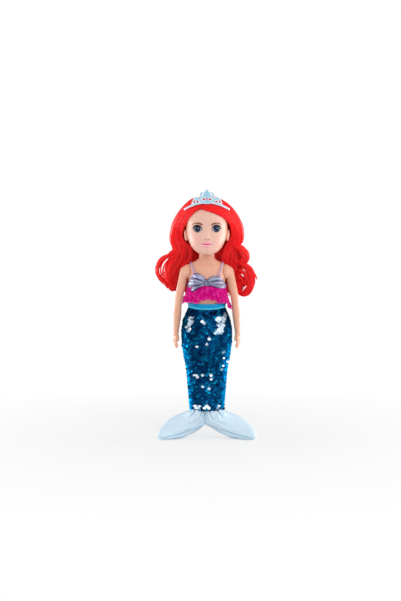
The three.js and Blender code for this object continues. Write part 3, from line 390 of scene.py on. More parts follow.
def colour(tree, shader, source):
    """A colour onto the shader."""
    tree.links.new(source, shader.inputs["Base Color"])


def vinyl_skin():
    """Peach vinyl: soft satin with a faint mottle, and the mesh's paler face, blush and shaded hollows."""
    material, tree, shader = finish("peach_vinyl", Roughness=0.46, Specular_IOR_Level=0.25,
                                    Subsurface_Weight=0.12, Subsurface_Scale=0.002)
    place = object_place(tree)
    mottle = speckle(tree, place, scale=60.0, detail=3.0)
    base = mix(tree, mottle, rgb(0.79, 0.405, 0.28), rgb(0.84, 0.455, 0.32))
    pale = mix(tree, tone(tree, "pale"), base, rgb(0.83, 0.515, 0.42))
    warm = mix(tree, tone(tree, "blush"), pale, rgb(0.83, 0.33, 0.29))
    colour(tree, shader, mix(tree, tone(tree, "shade"), warm, rgb(0.30, 0.11, 0.07)))
    relief(tree, shader, speckle(tree, place, scale=1800.0), strength=0.12, depth=GRAIN_DEPTH)
    return material


def plain_plastic(name, base, rough):
    """Moulded plastic with a faint grain."""
    material, tree, shader = finish(name, Roughness=rough)
    place = object_place(tree)
    colour(tree, shader, mix(tree, speckle(tree, place, scale=120.0), toned(base, 0.88), base))
    relief(tree, shader, speckle(tree, place, scale=1500.0), strength=0.1, depth=GRAIN_DEPTH)
    return material


def eye_acrylic():
    """A printed eye under clear acrylic. The piece's UV runs from the middle of the iris, in units of
    EYE_MAP."""
    material, tree, shader = finish("eye_acrylic", Roughness=0.18, Specular_IOR_Level=0.2)
    spot = node(tree, "UVMap").outputs[0]
    away = node(tree, "VectorMath", {0: spot}, operation="LENGTH").outputs["Value"]
    way = node(tree, "VectorMath", {0: spot}, operation="NORMALIZE").outputs[0]
    spokes = speckle(tree, way, scale=9.0, detail=3.0)
    # The sclera, past the iris, darkens toward the corners of the eye: painted shade.
    bands = ramp(tree, away, [
        (0.0, rgb(0.002, 0.003, 0.006)), (0.14, rgb(0.002, 0.003, 0.006)), (0.17, rgb(0.011, 0.045, 0.115)),
        (0.25, rgb(0.008, 0.026, 0.080)), (0.305, rgb(0.003, 0.004, 0.020)), (0.33, rgb(0.006, 0.006, 0.022)),
        (0.36, rgb(0.46, 0.45, 0.53)), (0.7, rgb(0.42, 0.36, 0.40)),
    ])
    iris = mix(tree, spokes, bands, mix(tree, 0.5, bands, rgb(0.02, 0.035, 0.09)))
    in_iris = node(tree, "Math", {0: away, 1: IRIS_EDGE}, operation="LESS_THAN").outputs[0]
    painted = mix(tree, in_iris, bands, iris)
    for across, up, half in CATCHLIGHTS:
        shift = node(tree, "VectorMath", {0: spot, 1: (across, up, 0.0)}, operation="DISTANCE")
        lit = node(tree, "Math", {0: shift.outputs["Value"], 1: half}, operation="LESS_THAN").outputs[0]
        painted = mix(tree, lit, painted, rgb(0.9, 0.94, 0.97))
    colour(tree, shader, painted)
    return material


def face_paint(name, base, rough):
    """Printed paint, slightly uneven in tone."""
    material, tree, shader = finish(name, Roughness=rough, Specular_IOR_Level=0.12)
    patches = speckle(tree, object_place(tree), scale=700.0)
    colour(tree, shader, mix(tree, patches, base, toned(base, 1.35)))
    return material


def hair_fibre():
    """Glossy red fibre: each strand has its own tone, with painted shade on deeper strands and between the
    combed ridges of the hair's body, and tones drift a little along the hair.
    """
    material, tree, shader = finish("red_fibre", Roughness=0.42, Specular_IOR_Level=0.12)
    drift = speckle(tree, object_place(tree), scale=90.0)
    value = node(tree, "Math", {0: drift, 1: 0.35, 2: tone(tree, "tone")}, operation="MULTIPLY_ADD")
    colour(tree, shader, ramp(tree, value.outputs[0], [
        (0.1, rgb(0.50, 0.006, 0.009)), (0.45, rgb(0.93, 0.014, 0.018)), (0.8, rgb(0.98, 0.030, 0.034)),
        (1.0, rgb(1.0, 0.065, 0.062)),
    ]))
    return material


def tiara_plastic():
    """Ice-blue plastic with its raised edges painted pale as a painted highlight."""
    material, tree, shader = finish("ice_plastic", Roughness=0.3, Coat_Weight=0.3)
    place = object_place(tree)
    base = mix(tree, speckle(tree, place, scale=150.0), rgb(0.28, 0.58, 0.76), rgb(0.37, 0.67, 0.83))
    colour(tree, shader, mix(tree, tone(tree, "rim"), base, rgb(0.80, 0.88, 0.95)))
    relief(tree, shader, speckle(tree, place, scale=900.0), strength=0.15, depth=GRAIN_DEPTH)
    return material


def woven(name, base, accent, rough, metal=0.0, drift=0.72, **values):
    """Woven cloth: crossed threads in relief, a drift of tone, and an accent mixed in by a per-point tone,
    which is real trim on some cloths and painted shade in folds on others.
    """
    material, tree, shader = finish(name, Roughness=rough, Metallic=metal, **values)
    place = object_place(tree)
    body = mix(tree, speckle(tree, place, scale=240.0, detail=3.0), toned(base, drift), base)
    # The accent over this tone is real trim on some cloths and painted shade in folds on others.
    colour(tree, shader, mix(tree, tone(tree, "edge"), body, accent))
    threads = [node(tree, "TexWave", {"Vector": place, "Scale": THREADS, "Distortion": 1.5},
                    bands_direction=way).outputs[1] for way in ("Z", "DIAGONAL")]
    crossed = node(tree, "Math", {0: threads[0], 1: threads[1]}, operation="MAXIMUM").outputs[0]
    relief(tree, shader, crossed, strength=0.25, depth=THREAD_DEPTH)
    return material


def glitter_tulle():
    """Hot pink net with pale glitter specks, and thin edges and ruffle crests painted a lighter pink: painted
    light through the thin hem and a painted highlight on the crests.
    """
    material, tree, shader = finish("pink_tulle", Roughness=0.6, Alpha=0.92, Specular_IOR_Level=0.06)
    place = object_place(tree)
    drift = speckle(tree, place, scale=210.0, detail=3.0)
    body = mix(tree, drift, rgb(0.46, 0.0, 0.145), rgb(0.80, 0.0, 0.265))
    cells = node(tree, "TexVoronoi", {"Vector": place, "Scale": 560.0}).outputs["Distance"]
    spark = node(tree, "Math", {0: cells, 1: 0.13}, operation="LESS_THAN").outputs[0]
    lit = mix(tree, spark, body, rgb(0.92, 0.16, 0.48))
    # Lighter pink over the tone: painted light along the hem and a painted highlight on the crests.
    colour(tree, shader, mix(tree, tone(tree, "edge"), lit, rgb(0.88, 0.05, 0.36)))
    net = node(tree, "TexVoronoi", {"Vector": place, "Scale": 1400.0}, feature="DISTANCE_TO_EDGE")
    relief(tree, shader, net.outputs[0], strength=0.4, depth=FILM_DEPTH)
    return material


def sequin_film(name, stops, rough, metal, **values):
    """Metallised film, each sequin with its own tone."""
    material, tree, shader = finish(name, Roughness=rough, Metallic=metal, **values)
    colour(tree, shader, ramp(tree, tone(tree, "tone"), stops))
    waves = speckle(tree, object_place(tree), scale=600.0)
    relief(tree, shader, waves, strength=0.1, depth=FILM_DEPTH)
    return material


skin_look = vinyl_skin()
plug_look = plain_plastic("plug_plastic", rgb(0.80, 0.78, 0.72), rough=0.5)
eye_look = eye_acrylic()
brow_look = face_paint("brow_paint", rgb(0.19, 0.065, 0.040), rough=0.5)
lash_look = face_paint("lash_paint", rgb(0.008, 0.006, 0.010), rough=0.4)
lip_look = face_paint("lip_paint", rgb(0.90, 0.36, 0.41), rough=0.32)
mouth_look = face_paint("mouth_line", rgb(0.46, 0.055, 0.13), rough=0.45)
hair_look = hair_fibre()
tiara_look = tiara_plastic()
stone_look = plain_plastic("pink_stone", rgb(0.85, 0.20, 0.42), rough=0.08)
# The lamé's dark accent is painted shade in its folds and at its sides, and also darkens its upper and lower
# edges.
lame_look = woven("lilac_lame", rgb(0.37, 0.39, 0.54), rgb(0.045, 0.03, 0.16), rough=0.4, metal=0.5)
organza_look = woven("lilac_organza", rgb(0.66, 0.46, 0.66), rgb(0.46, 0.26, 0.52), rough=0.4, Alpha=0.55)
tape_look = woven("closure_tape", rgb(0.62, 0.58, 0.70), rgb(0.50, 0.44, 0.60), rough=0.9)
tulle_look = glitter_tulle()
band_look = woven("turquoise_satin", rgb(0.0, 0.34, 0.65), rgb(0.06, 0.58, 0.80), rough=0.5,
                  Specular_IOR_Level=0.2)
knit_look = woven("navy_knit", rgb(0.002, 0.022, 0.075), rgb(0.01, 0.10, 0.30), rough=0.6,
                  Specular_IOR_Level=0.08)
blue_look = sequin_film("blue_sequin", [
    (0.0, rgb(0.001, 0.010, 0.044)), (0.45, rgb(0.001, 0.032, 0.094)), (0.75, rgb(0.001, 0.076, 0.165)),
    (1.0, rgb(0.002, 0.17, 0.32))], rough=0.3, metal=1.0, Specular_Tint=rgb(0.22, 0.80, 1.0))
silver_look = sequin_film("silver_sequin", [
    (0.0, rgb(0.14, 0.24, 0.34)), (0.3, rgb(0.54, 0.65, 0.74)), (0.75, rgb(0.74, 0.81, 0.87)),
    (1.0, rgb(0.30, 0.60, 0.76))], rough=0.28, metal=0.85)
# The satin's dark accent is painted shade in the seam groove, with its stitching, and in the hollows of the
# pleats.
satin_look = woven("ice_satin", rgb(0.70, 0.87, 1.0), rgb(0.20, 0.42, 0.56), rough=0.5, drift=0.93,
                   Specular_IOR_Level=0.25)


# Heights of the doll, as in its solids
HEM = 37.0
HIP = 138.0
LEG_TOP = 153.3
WAIST = 168.0
SHOULDER = 211.0
NECK_TOP = 238.0
CHIN = 232.6

# Torso
TORSO_POWER = 2.3  # of its superellipse sections
CHEST_OUT = 2.6
CHEST_X = 9.5
CHEST_Z = 202.0
CHEST_HALF = 7.5
CHEST_TALL = 8.0
COLLAR_OUT = 0.7
COLLAR_Z = 217.5
NAVEL_DEEP = 1.2
NAVEL_Z = 175.0
SPINE_DEEP = 0.9
SEAM_HALF = 0.12  # half of the gap between the two shells
torso_at = through([  # height, half width, half depth
    [LEG_TOP, 24.5, 15.5], [WAIST, 21.5, 13.0], [200.5, 23.0, 14.2], [215.7, 23.0, 13.06],
    [219.9, 22.08, 11.08], [221.5, 19.78, 10.51], [224.65, 13.5, 10.04], [228.3, 9.67, 9.3],
    [NECK_TOP, 9.3, 9.02],
])


def torso_point(turn, z, grow):
    """A point round the torso: a superellipse at height z, grown outward, at a turn from the front. Above the
    shoulder the growth also goes up, so that cloth there stands off the slope."""
    turn, z, grow = np.broadcast_arrays(turn, z, grow)
    level = np.where(z > SHOULDER, np.maximum(SHOULDER, z - grow), z)
    wide, deep = torso_at(level)
    s, c = squared(turn, TORSO_POWER)
    return np.stack([(wide + grow) * s, BODY_Y - (deep + grow) * c, z], -1)


def torso_shell(front):
    """Half of the torso: its arc with chest, collar bones and navel in front or a spine behind, closed along
    the flat of the seam."""
    heights = np.linspace(LEG_TOP, NECK_TOP, 110)[:, None]
    sign = 1 if front else -1
    turn = np.linspace(-np.pi / 2, np.pi / 2, 72)[None, :]
    arc = torso_point(turn if front else np.pi + turn, heights, 0.0)
    x, z = arc[..., 0], arc[..., 2]
    if front:
        both = hump(x, CHEST_X, CHEST_HALF) + hump(x, -CHEST_X, CHEST_HALF)
        chest = CHEST_OUT * both * hump(z, CHEST_Z, CHEST_TALL)
        away = np.abs(x)
        collar = COLLAR_OUT * hump(z, COLLAR_Z - 0.06 * away, 1.5) * ease(3, 7, away) * ease(20, 14, away)
        navel = NAVEL_DEEP * hump(np.hypot(x, 1.2 * (z - NAVEL_Z)), 0.0, 1.1)
        arc[..., 1] -= chest + collar - navel
    else:
        arc[..., 1] -= SPINE_DEEP * hump(x, 0.0, 2.6) * ease(160, 175, z) * ease(222, 210, z)
    seam = BODY_Y - sign * SEAM_HALF
    arc[..., 1] = np.minimum(arc[..., 1], seam) if front else np.maximum(arc[..., 1], seam)
    back = np.linspace(0, 1, 18)[1:-1][None, :, None]
    flat = arc[:, -1:] + back * (arc[:, :1] - arc[:, -1:])
    return loft(np.concatenate([arc, flat], 1))


for name, front in (("torso_front_skin", True), ("torso_back_skin", False)):
    piece(name, torso_shell(front), skin_look, "skin_vinyl", "torso", (name.replace("_skin", ""),))


# Arms, with a palm, four curled fingers and a thumb fused into one skin
ARM_LENGTH = 76.0  # to the wrist
ARM_AXIS = 28.6  # beside the body, at the shoulder
WRIST_OUT = 10.0  # beyond the shoulder
arm_at = through([  # drop below the shoulder, place beside the body
    [0, ARM_AXIS], [38.0, ARM_AXIS + 7.0], [ARM_LENGTH, ARM_AXIS + WRIST_OUT], [96.0, ARM_AXIS + 11.6]])
limb_at = through([  # drop below the shoulder, radius
    [0, 5.3], [30, 5.0], [44, 4.65], [53, 5.0], [66, 4.15], [ARM_LENGTH, 3.4], [80, 3.3]])
shoulder_at = through([  # share from the inner face to the outer end, place beside the body, radius
    [0, 20.8, 7.4], [0.06, 20.9, 8.2], [0.16, 21.8, 8.85], [0.3, 24.0, 9.0], [0.48, 27.0, 7.8],
    [0.62, 29.1, 6.5], [0.8, 31.6, 4.8], [0.93, 33.2, 2.7], [1, 33.9, 0.3]])
HAND_TURN = np.radians(60)
PALM_RUNS = (-2.4, -0.8, 0.8, 2.4)  # places across the palm
KNUCKLE = 8.8  # below the wrist
FINGER_CURL = 2.6
FINGERS = [  # place across the palm, length, radius
    (-2.8, 17.6, 1.15), (-0.95, 19.8, 1.25), (1.0, 19.5, 1.25), (2.9, 17.0, 1.1)]


def capsule(path, radii, sides):
    """A tube with domed ends: rings at shares of the first and last radius beyond the path."""
    path, radii = np.asarray(path, float), np.asarray(radii, float)
    lift = np.array([0.98, 0.85, 0.6, 0.3])[:, None]
    head, tail = unit(path[0] - path[1]), unit(path[-1] - path[-2])
    round_off = np.sqrt(1 - lift[:, 0] ** 2)
    path = np.concatenate([path[0] + radii[0] * lift * head, path, path[-1] + radii[-1] * lift[::-1] * tail])
    radii = np.concatenate([radii[0] * round_off, radii, radii[-1] * round_off[::-1]])
    return tubes(path[None], radii[None], sides)


def shoulder_cap(side):
    """The round top of an arm, turned about the hinge's axis so that it looks the same at every swing: a flat
    inner face, a full edge that carries the torso's slope on, and a domed outer end."""
    out, radius = shoulder_at(np.linspace(0, 1, 26)[:, None])
    turn = np.linspace(0, 2 * np.pi, 40, endpoint=False)[None, :]
    y = BODY_Y + radius * np.cos(turn)
    z = SHOULDER + radius * np.sin(turn)
    return loft(np.stack([side * out + 0 * turn, y, z], -1))


def arm(side):
    """An arm that hangs from the shoulder: a tapering tube, a round shoulder with a tube that fills in under
    it, and a hand of four palm runs, four fingers that curl in and a thumb."""
    drop = np.linspace(0, ARM_LENGTH + 3, 34)
    x, radius = arm_at(drop)[0], limb_at(drop)[0]
    limb = capsule(np.stack([side * x, BODY_Y + 0 * x, SHOULDER - drop], -1), radius, 24)
    drop = np.linspace(0, 22, 8)
    upper = np.stack([side * (26.9 + 0.24 * drop), BODY_Y + 0 * drop, SHOULDER - drop], -1)
    parts = [limb, shoulder_cap(side), capsule(upper, np.linspace(3.5, 4.9, 8), 20)]
    wide = np.array([side * np.cos(HAND_TURN), np.sin(HAND_TURN), 0.0])
    wrist = np.array([side * (ARM_AXIS + WRIST_OUT), BODY_Y, SHOULDER - ARM_LENGTH])
    down = unit(np.array([side * 0.1, 0.0, -1.0]))
    thumb_way = unit(np.array([-side * 0.85, -0.53, 0.0]))
    inward = np.array([-side, 0.0, 0.0])
    for across in PALM_RUNS:
        run = np.array([[0.25 * across, 0], [across, 4.8], [1.1 * across, 10.2]])
        parts.append(capsule(wrist + run[:, :1] * wide + run[:, 1:] * down, [2.4, 2.1, 1.7], 12))
    for across, length, radius in FINGERS:
        s = np.linspace(0, 1, 8)[:, None]
        bend = FINGER_CURL * s ** 2.5 * inward
        drop = KNUCKLE + (length - KNUCKLE) * s
        run = wrist + (1.08 * across - 0.15 * across * s) * wide + drop * down + bend
        parts.append(capsule(run, radius * np.linspace(1.12, 0.82, 8), 10))
    s = np.linspace(0, 1, 8)[:, None]
    run = wrist + (2.5 + 8.2 * s) * down + (1.3 + 3.2 * np.sin(1.9 * s)) * thumb_way
    parts.append(capsule(run, np.linspace(1.8, 1.15, 8), 12))
    return fused(parts, voxel=0.45, rounds=7)


for name, side in (("left_arm", 1), ("right_arm", -1)):
    piece(name + "_skin", arm(side), skin_look, "skin_vinyl", name, (name,))


# Head
HEAD_HALF = 26.0
FACE_FRONT = 28.5
HEAD_BACK = 31.0
HEAD_HEIGHT = 67.4
HEAD_POWER = 2.2
EYE_X = 11.5
EYE_UP = 31.4
EYE_HALF = 5.5
EYE_LAP = 0.35  # how far an eye runs in under its lids
SOCKET_DEEP = 1.7
LID_OUT = 0.45
MOUTH_UP = 12.9
MOUTH_HALF = 7.8
LIP_HALF = 6.9
NECK_POCKET = 10.6
EAR_MIDDLE = (26.0, 3.1, 24.2)  # beside, behind and above
EAR_HALF = (3.0, 4.6, 7.4)
FACE_BELLS = [  # rise, place beside the middle and above the chin, half width and half height
    (3.5, 0, 21.6, 2.5, 3.2),  # nose
    (1.4, 0, 28.5, 2.3, 6.0),  # its bridge
    (1.2, 2.9, 20.4, 1.5, 1.6),  # its wings
    (-0.6, 0, 17.8, 1.1, 1.3),  # groove over the lip
    (1.3, 0, 15.0, 5.0, 1.8),  # upper lip
    (1.6, 0, 10.6, 4.4, 2.1),  # lower lip
    (-0.8, 0, MOUTH_UP, 6.0, 0.6),  # mouth line
    (1.2, 0, 4.0, 5.0, 3.4),  # chin
    (1.0, 14.0, 15.0, 7.0, 7.0),  # cheeks
    (0.5, 10.5, 38.6, 8.0, 3.0),  # brow
    (-1.3, EYE_X, EYE_UP, 7.5, 5.2),  # hollows of the eyes
]
LASH_FLICKS = [(0.15, 1.0), (0.4, 1.3), (0.64, 1.6), (0.86, 1.8)]  # place along the lid, length
brow_at = through([  # share from its inner end, place beside the middle, height over the chin
    [0, 5.6, 36.9], [0.3, 9.2, 38.5], [0.6, 13.4, 39.0], [0.85, 16.8, 37.9], [1, 18.7, 36.5]])
head_at = through([  # share of the height, then shares of the half width, the front and the back
    [0, 0.2, 0.72, -0.35], [0.03, 0.42, 0.85, -0.1], [0.09, 0.62, 0.93, 0.2], [0.18, 0.79, 0.98, 0.52],
    [0.3, 0.91, 1, 0.75], [0.45, 0.98, 0.985, 0.92], [0.6, 1, 0.995, 1], [0.74, 0.95, 0.93, 1],
    [0.86, 0.8, 0.74, 0.88], [0.94, 0.55, 0.47, 0.64], [0.985, 0.28, 0.2, 0.34], [1, 0.05, 0.03, 0.06],
])


def features(x, up):
    """How far the face stands out at a place: the sum of its bells, the same on both sides."""
    away = np.abs(x)
    return sum(rise * hump(away, at_x, half_x) * hump(up, at_up, half_up)
               for rise, at_x, at_up, half_x, half_up in FACE_BELLS)


def facing(y):
    """1 on the front of the head, easing to 0 at its sides, at a place y before or behind its axis."""
    return ease(0.3 * FACE_FRONT, 0.8 * FACE_FRONT, -y)


def face_y(x, up):
    """Front of the face at a place beside the middle and above the chin, from the head's sections."""
    wide, front, back = head_at(up / HEAD_HEIGHT)
    near, rear = -front * FACE_FRONT, back * HEAD_BACK
    share = np.clip(1 - np.abs(x / (wide * HEAD_HALF)) ** HEAD_POWER, 0, 1) ** (1 / HEAD_POWER)
    y = (near + rear) / 2 - share * (rear - near) / 2
    return BODY_Y + y - facing(y) * features(x, up)


def lid_edges(share):
    """Upper and lower edge of an eye's opening about its middle, at a share from -1 inside to 1 outside."""
    bow = np.clip(1 - np.abs(share) ** 2.0, 0, 1)
    tilt = 0.45 * share
    return 3.9 * bow ** 0.6 + tilt, -3.7 * bow ** 0.7 + tilt


def head_skin():
    """The head: superellipse rings from chin to crown, denser in front, with the features added, the eyes'
    openings pushed in, raised lids, and a round pocket that the neck enters. Its tones are the blush of the
    cheeks, the paler face and the shade of nostrils and lids."""
    rows, columns = 210, 280
    t = np.linspace(0, 1, rows)
    up = HEAD_HEIGHT * (0.45 * t + 0.55 * (0.5 - 0.5 * np.cos(np.pi * t)))[:, None]
    s = np.linspace(-1, 1, columns, endpoint=False)[None, :]
    turn = np.pi * (0.6 * s + 0.4 * s ** 3)
    wide, front, back = head_at(up / HEAD_HEIGHT)
    sine, cosine = squared(turn, HEAD_POWER)
    near, rear = -front * FACE_FRONT, back * HEAD_BACK
    x = wide * HEAD_HALF * sine
    y = (near + rear) / 2 - (rear - near) / 2 * cosine
    ahead = facing(y)
    side_share = (np.abs(x) - EYE_X) / EYE_HALF
    high, low = lid_edges(np.clip(side_share, -1, 1))
    rise = up - EYE_UP
    past = EYE_HALF * np.clip(np.abs(side_share) - 1, 0, None)
    inner_room = np.minimum(high - rise, rise - low)
    room = np.where(past > 0, -np.hypot(past, rise - np.clip(rise, low, high)), inner_room)
    socket = ahead * (SOCKET_DEEP * ease(-0.1, 0.5, room) - LID_OUT * hump(room, -0.55, 0.55))
    nostril = ahead * hump(np.abs(x), 1.9, 0.8) * hump(up, 19.2, 0.6)
    y = y - ahead * features(x, up) + socket + nostril
    z = CHIN + up + 0 * x
    neck = np.hypot(x, y) < NECK_POCKET
    z = np.where(neck & (z < NECK_TOP + 1.5), NECK_TOP + 0.4, z)
    points = np.stack([x, BODY_Y + y, z], -1)
    blush = 0.32 * ahead * hump(np.abs(x), 15.0, 6.0) * hump(up, 19.0, 6.5)
    pale = 0.9 * ahead
    shade = 0.9 * nostril + 0.3 * ahead * hump(room, -0.2, 0.5)
    spread = [np.concatenate([v.ravel(), v[0, :1], v[-1, :1]]) for v in (blush, pale, shade)]
    return loft(points), spread


def ear(side):
    """An ear: a flat ellipsoid whose outer face is hollowed inside a raised rim."""
    up = np.linspace(-0.99, 0.99, 40)[:, None] * np.pi / 2
    turn = np.linspace(0, 2 * np.pi, 48, endpoint=False)[None, :]
    x, y, z = np.cos(up) * np.cos(turn), np.cos(up) * np.sin(turn), np.sin(up) + 0 * turn
    hollow = ease(0.74, 0.4, np.hypot(y, z + 0.1)) * ease(0.1, 0.5, x)
    out = EAR_MIDDLE[0] + EAR_HALF[0] * x - 1.7 * hollow + 0.5 * z
    back = BODY_Y + EAR_MIDDLE[1] + EAR_HALF[1] * y + 0.8 * z
    return loft(np.stack([side * out, back, CHIN + EAR_MIDDLE[2] + EAR_HALF[2] * z], -1))


head_body, (blush, pale, shade) = head_skin()
ears = joined([ear(1), ear(-1)])
extra = np.zeros(len(ears[0]))
piece("head_skin", joined([head_body, ears]), skin_look, "skin_vinyl", "head", ("head_shell",),
      blush=np.concatenate([blush, extra + 0.12]), pale=np.concatenate([pale, extra + 0.4]),
      shade=np.concatenate([shade, extra]))


def face_patch(x, up, stand, depth):
    """A thin closed patch on the face over a grid of places: its front stands off it, its back is sunk in."""
    y = face_y(x, up)
    front = np.stack([x, y - stand, CHIN + up], -1)
    back = np.stack([x, y + depth, CHIN + up], -1)
    return shell(front, back, False)


for name, side in (("left_eye", 1), ("right_eye", -1)):
    s = np.linspace(-1, 1, 41)[None, :]
    v = np.linspace(0, 1, 25)[:, None]
    high, low = lid_edges(s)
    rise = low - EYE_LAP + v * (high - low + 2 * EYE_LAP)
    x = side * (EYE_X + 1.03 * EYE_HALF * s) + 0 * v
    bulge = 0.35 * (1 - s ** 2) * (1 - (2 * v - 1) ** 2) - 0.75
    body = face_patch(x, EYE_UP + rise, bulge, 3.0)
    flat = np.stack([(x - side * EYE_X).ravel(), rise.ravel()], -1) / EYE_MAP
    piece(name + "_printed", body, eye_look, "eye_acrylic", "head", (name,), uv=np.concatenate([flat, flat]))


def lashes(side):
    """The dark upper lash line, thicker outward and drawn past the corner, a fine lower line, and flicks that
    rise from the outer half of the lid."""
    far = 1.26
    s = np.linspace(-1, far, 48)[None, :]
    v = np.linspace(0, 1, 5)[:, None]
    past = np.clip(s - 0.9, 0, None)
    line = lid_edges(np.clip(s, -1, 1))[0] + 2.6 * past
    half = (1.4 + 0.2 * (s + 1)) * ease(far, 0.85, s) * ease(-1.15, -0.75, s) + 0.05
    x = side * (EYE_X + EYE_HALF * s) + 0 * v
    upper = face_patch(x, EYE_UP + line - 0.55 + half * v * 1.3, 0.72, 0.5)
    t = np.linspace(-0.2, 0.98, 30)[None, :]
    under = lid_edges(t)[1] + EYE_UP - 0.25
    thin = 0.26 * ease(-0.2, 0.4, t) + 0.05
    lower = face_patch(side * (EYE_X + EYE_HALF * t) + 0 * v, under + thin * (v - 0.5), 0.66, 0.5)
    flicks = []
    for place, length in LASH_FLICKS:
        w = np.linspace(0, 1, 9)[None, :]
        root = lid_edges(np.array(place))[0]
        sweep = side * (EYE_X + EYE_HALF * place + (0.35 + 0.5 * place) * length * w)
        x = sweep + 0.28 * (1 - w) * (v - 0.5)
        flicks.append(face_patch(x, EYE_UP + root + length * w + 0 * v, 0.74, 0.4))
    return joined([upper, lower, *flicks])


def brow(side):
    """An arched brow: a strip that swells inward and thins to its outer end."""
    s = np.linspace(0, 1, 36)[None, :]
    v = np.linspace(-1, 1, 5)[:, None]
    x, up = brow_at(s)
    half = 1.1 * np.sqrt(np.clip(1 - s, 0.004, 1)) * ease(-0.12, 0.12, s)
    return face_patch(side * x + 0 * v, up + half * v, 0.55, 0.4)


for name, side in (("left", 1), ("right", -1)):
    piece(name + "_lashes", lashes(side), lash_look, "eye_acrylic", "head")
    piece(name + "_brow", brow(side), brow_look, "hair_fibre", "head")


def lip(upper):
    """A lip between the mouth line and its outer edge, bowed in the middle above and full below."""
    s = np.linspace(-1, 1, 45)[None, :]
    v = np.linspace(0, 1, 9)[:, None]
    line = MOUTH_UP + 0.35 * s ** 2
    if upper:
        edge = 4.0 * (1 - np.abs(s) ** 1.5) * (1 - 0.2 * hump(s, 0, 0.16))
    else:
        edge = -4.3 * (1 - np.abs(s) ** 1.9)
    swell = 0.12 + 0.45 * np.sin(np.pi * (0.12 + 0.76 * v)) * (1 - s ** 2)
    return face_patch(LIP_HALF * s + 0 * v, line + edge * v, swell, 0.6)


def mouth_line():
    """The line between the lips: a strip that thins to the corners and curls up there."""
    s = np.linspace(-1, 1, 40)[None, :]
    v = np.linspace(-1, 1, 3)[:, None]
    up = MOUTH_UP + 0.4 * s ** 2 + 0.5 * (1 - s ** 2) * v
    return face_patch(MOUTH_HALF * s + 0 * v, up, 0.5 - 0.3 * s ** 2, 0.4)


piece("lips", joined([lip(True), lip(False)]), lip_look, "skin_vinyl", "head")
piece("mouth_line", mouth_line(), mouth_look, "skin_vinyl", "head")


# Hair: guide strands from the parting to the tips, front edge first, back of the head last
BACK_GUIDE = [
    (0, 16, 303), (0, 24, 298.5), (0, 31, 287), (0, 34, 272), (0, 34.3, 258), (0, 33, 246),
    (0, 31, 236), (0, 29.5, 222), (0, 30.5, 207), (0, 29, 192), (0, 28, 174)]
RIGHT_GUIDES = [
    [(-7.5, -27.5, 291), (-15, -27, 287.5), (-22.5, -20.5, 279), (-28, -11, 268.5), (-31, 2, 258),
     (-28, 9, 248), (-19, 12, 238), (-17, 13, 227), (-24, 14, 214), (-33, 13, 200), (-36, 11, 187)],
    [(-7, -21, 297.5), (-19, -21.5, 295), (-30, -14, 284), (-36.5, -6, 272), (-40, 2, 260), (-39, 7, 249),
     (-35, 9, 238), (-38, 10, 227), (-46, 10, 214), (-48, 10, 199.5), (-42, 10, 186)],
    [(-6.5, -8, 304), (-20, -10, 301.5), (-33, -6, 289), (-41.5, 1, 274.5), (-45.5, 6, 261), (-46, 9, 249),
     (-42.5, 11, 237), (-54, 12, 229), (-65, 13, 214), (-60, 13, 199), (-46, 12, 186)],
    [(-5, 4, 305.5), (-19, 6, 302), (-32, 11, 289), (-40.5, 14, 275), (-44.5, 17, 261), (-44.5, 19, 249),
     (-40.5, 18, 237), (-52, 20, 228), (-61, 23, 213), (-57, 20, 198), (-43, 16, 186)],
    [(-3, 12, 304), (-13, 19, 299), (-23, 26, 287), (-29, 29.5, 273), (-32, 31, 259), (-33, 31, 247),
     (-31, 29, 236), (-35, 26.5, 223), (-40, 29, 209), (-37, 27, 194), (-31, 22, 180)],
    BACK_GUIDE,
]
LEFT_GUIDES = [
    [(-7.5, -27.5, 290.5), (4, -29.8, 286.2), (15.5, -27.5, 282), (24.5, -19, 275.5), (29.5, -7, 266.5),
     (30.5, 5, 255), (23, 11, 243), (18, 13, 229), (25, 14, 213), (35, 13, 197), (39, 11, 182)],
    [(-7, -22, 297), (8, -26, 295), (22, -20.5, 288), (32.5, -11, 277), (38.5, -3, 264), (39.5, 5, 251),
     (36.5, 9, 240), (40, 10, 228), (40, 11, 214), (48, 11, 199), (44, 11, 180)],
    [(-6.5, -8, 304), (10, -10, 304), (27, -8, 295), (39, -1, 280), (46, 5, 263), (45.5, 9, 249.5),
     (41.5, 11, 241), (53, 12, 229.5), (51.5, 13, 216), (62.5, 13, 202), (51, 12, 179.5)],
    [(-5, 4, 305.5), (10, 6, 305), (26, 11, 296), (38, 14, 281), (45, 17, 264), (44.5, 19, 250),
     (41, 18, 241), (51, 20, 229), (50.5, 24, 215), (60, 21, 200), (49, 17, 180)],
    [(-3, 12, 304), (9, 19, 301), (20, 25, 290), (28, 29, 275), (32, 31, 260), (33, 31, 248),
     (32, 29, 238), (36, 26.5, 224), (38, 29, 209), (40, 27, 194), (34, 22, 179)],
    BACK_GUIDE,
]
HAIR_MIDDLE = np.array([0.0, 8.0, 262.0])
MASS_INSET = 1.9  # of the body of the hair inside the strands
LOCKS = 30  # across one side
LOOSE_SHARE = 0.1  # of the locks, which hang outside the body of the hair
HAIR_INSET = 1.5  # of the strands inside the guides
REACH_SOFT = 1.5  # over which hair is drawn in to its reach
STRAND_STEPS = 40
STRAND_SIDES = 4
STRAND_THIN = 0.42  # radius of the thinnest and the thickest strand
STRAND_THICK = 0.62
FRONT_STRANDS = 600
BACK_STRANDS = 420
right_reach = through([  # height, farthest place beside the middle
    [178, 36], [185, 41], [191, 49.5], [199, 53.5], [206, 53], [214, 51.5], [221, 49.5], [229, 46.5],
    [236, 46], [244, 52], [256, 70]])
left_reach = through([
    [172, 37], [188, 39.5], [205, 41.5], [214, 44.5], [222, 46.5], [236, 46.5], [244, 50], [256, 70]])
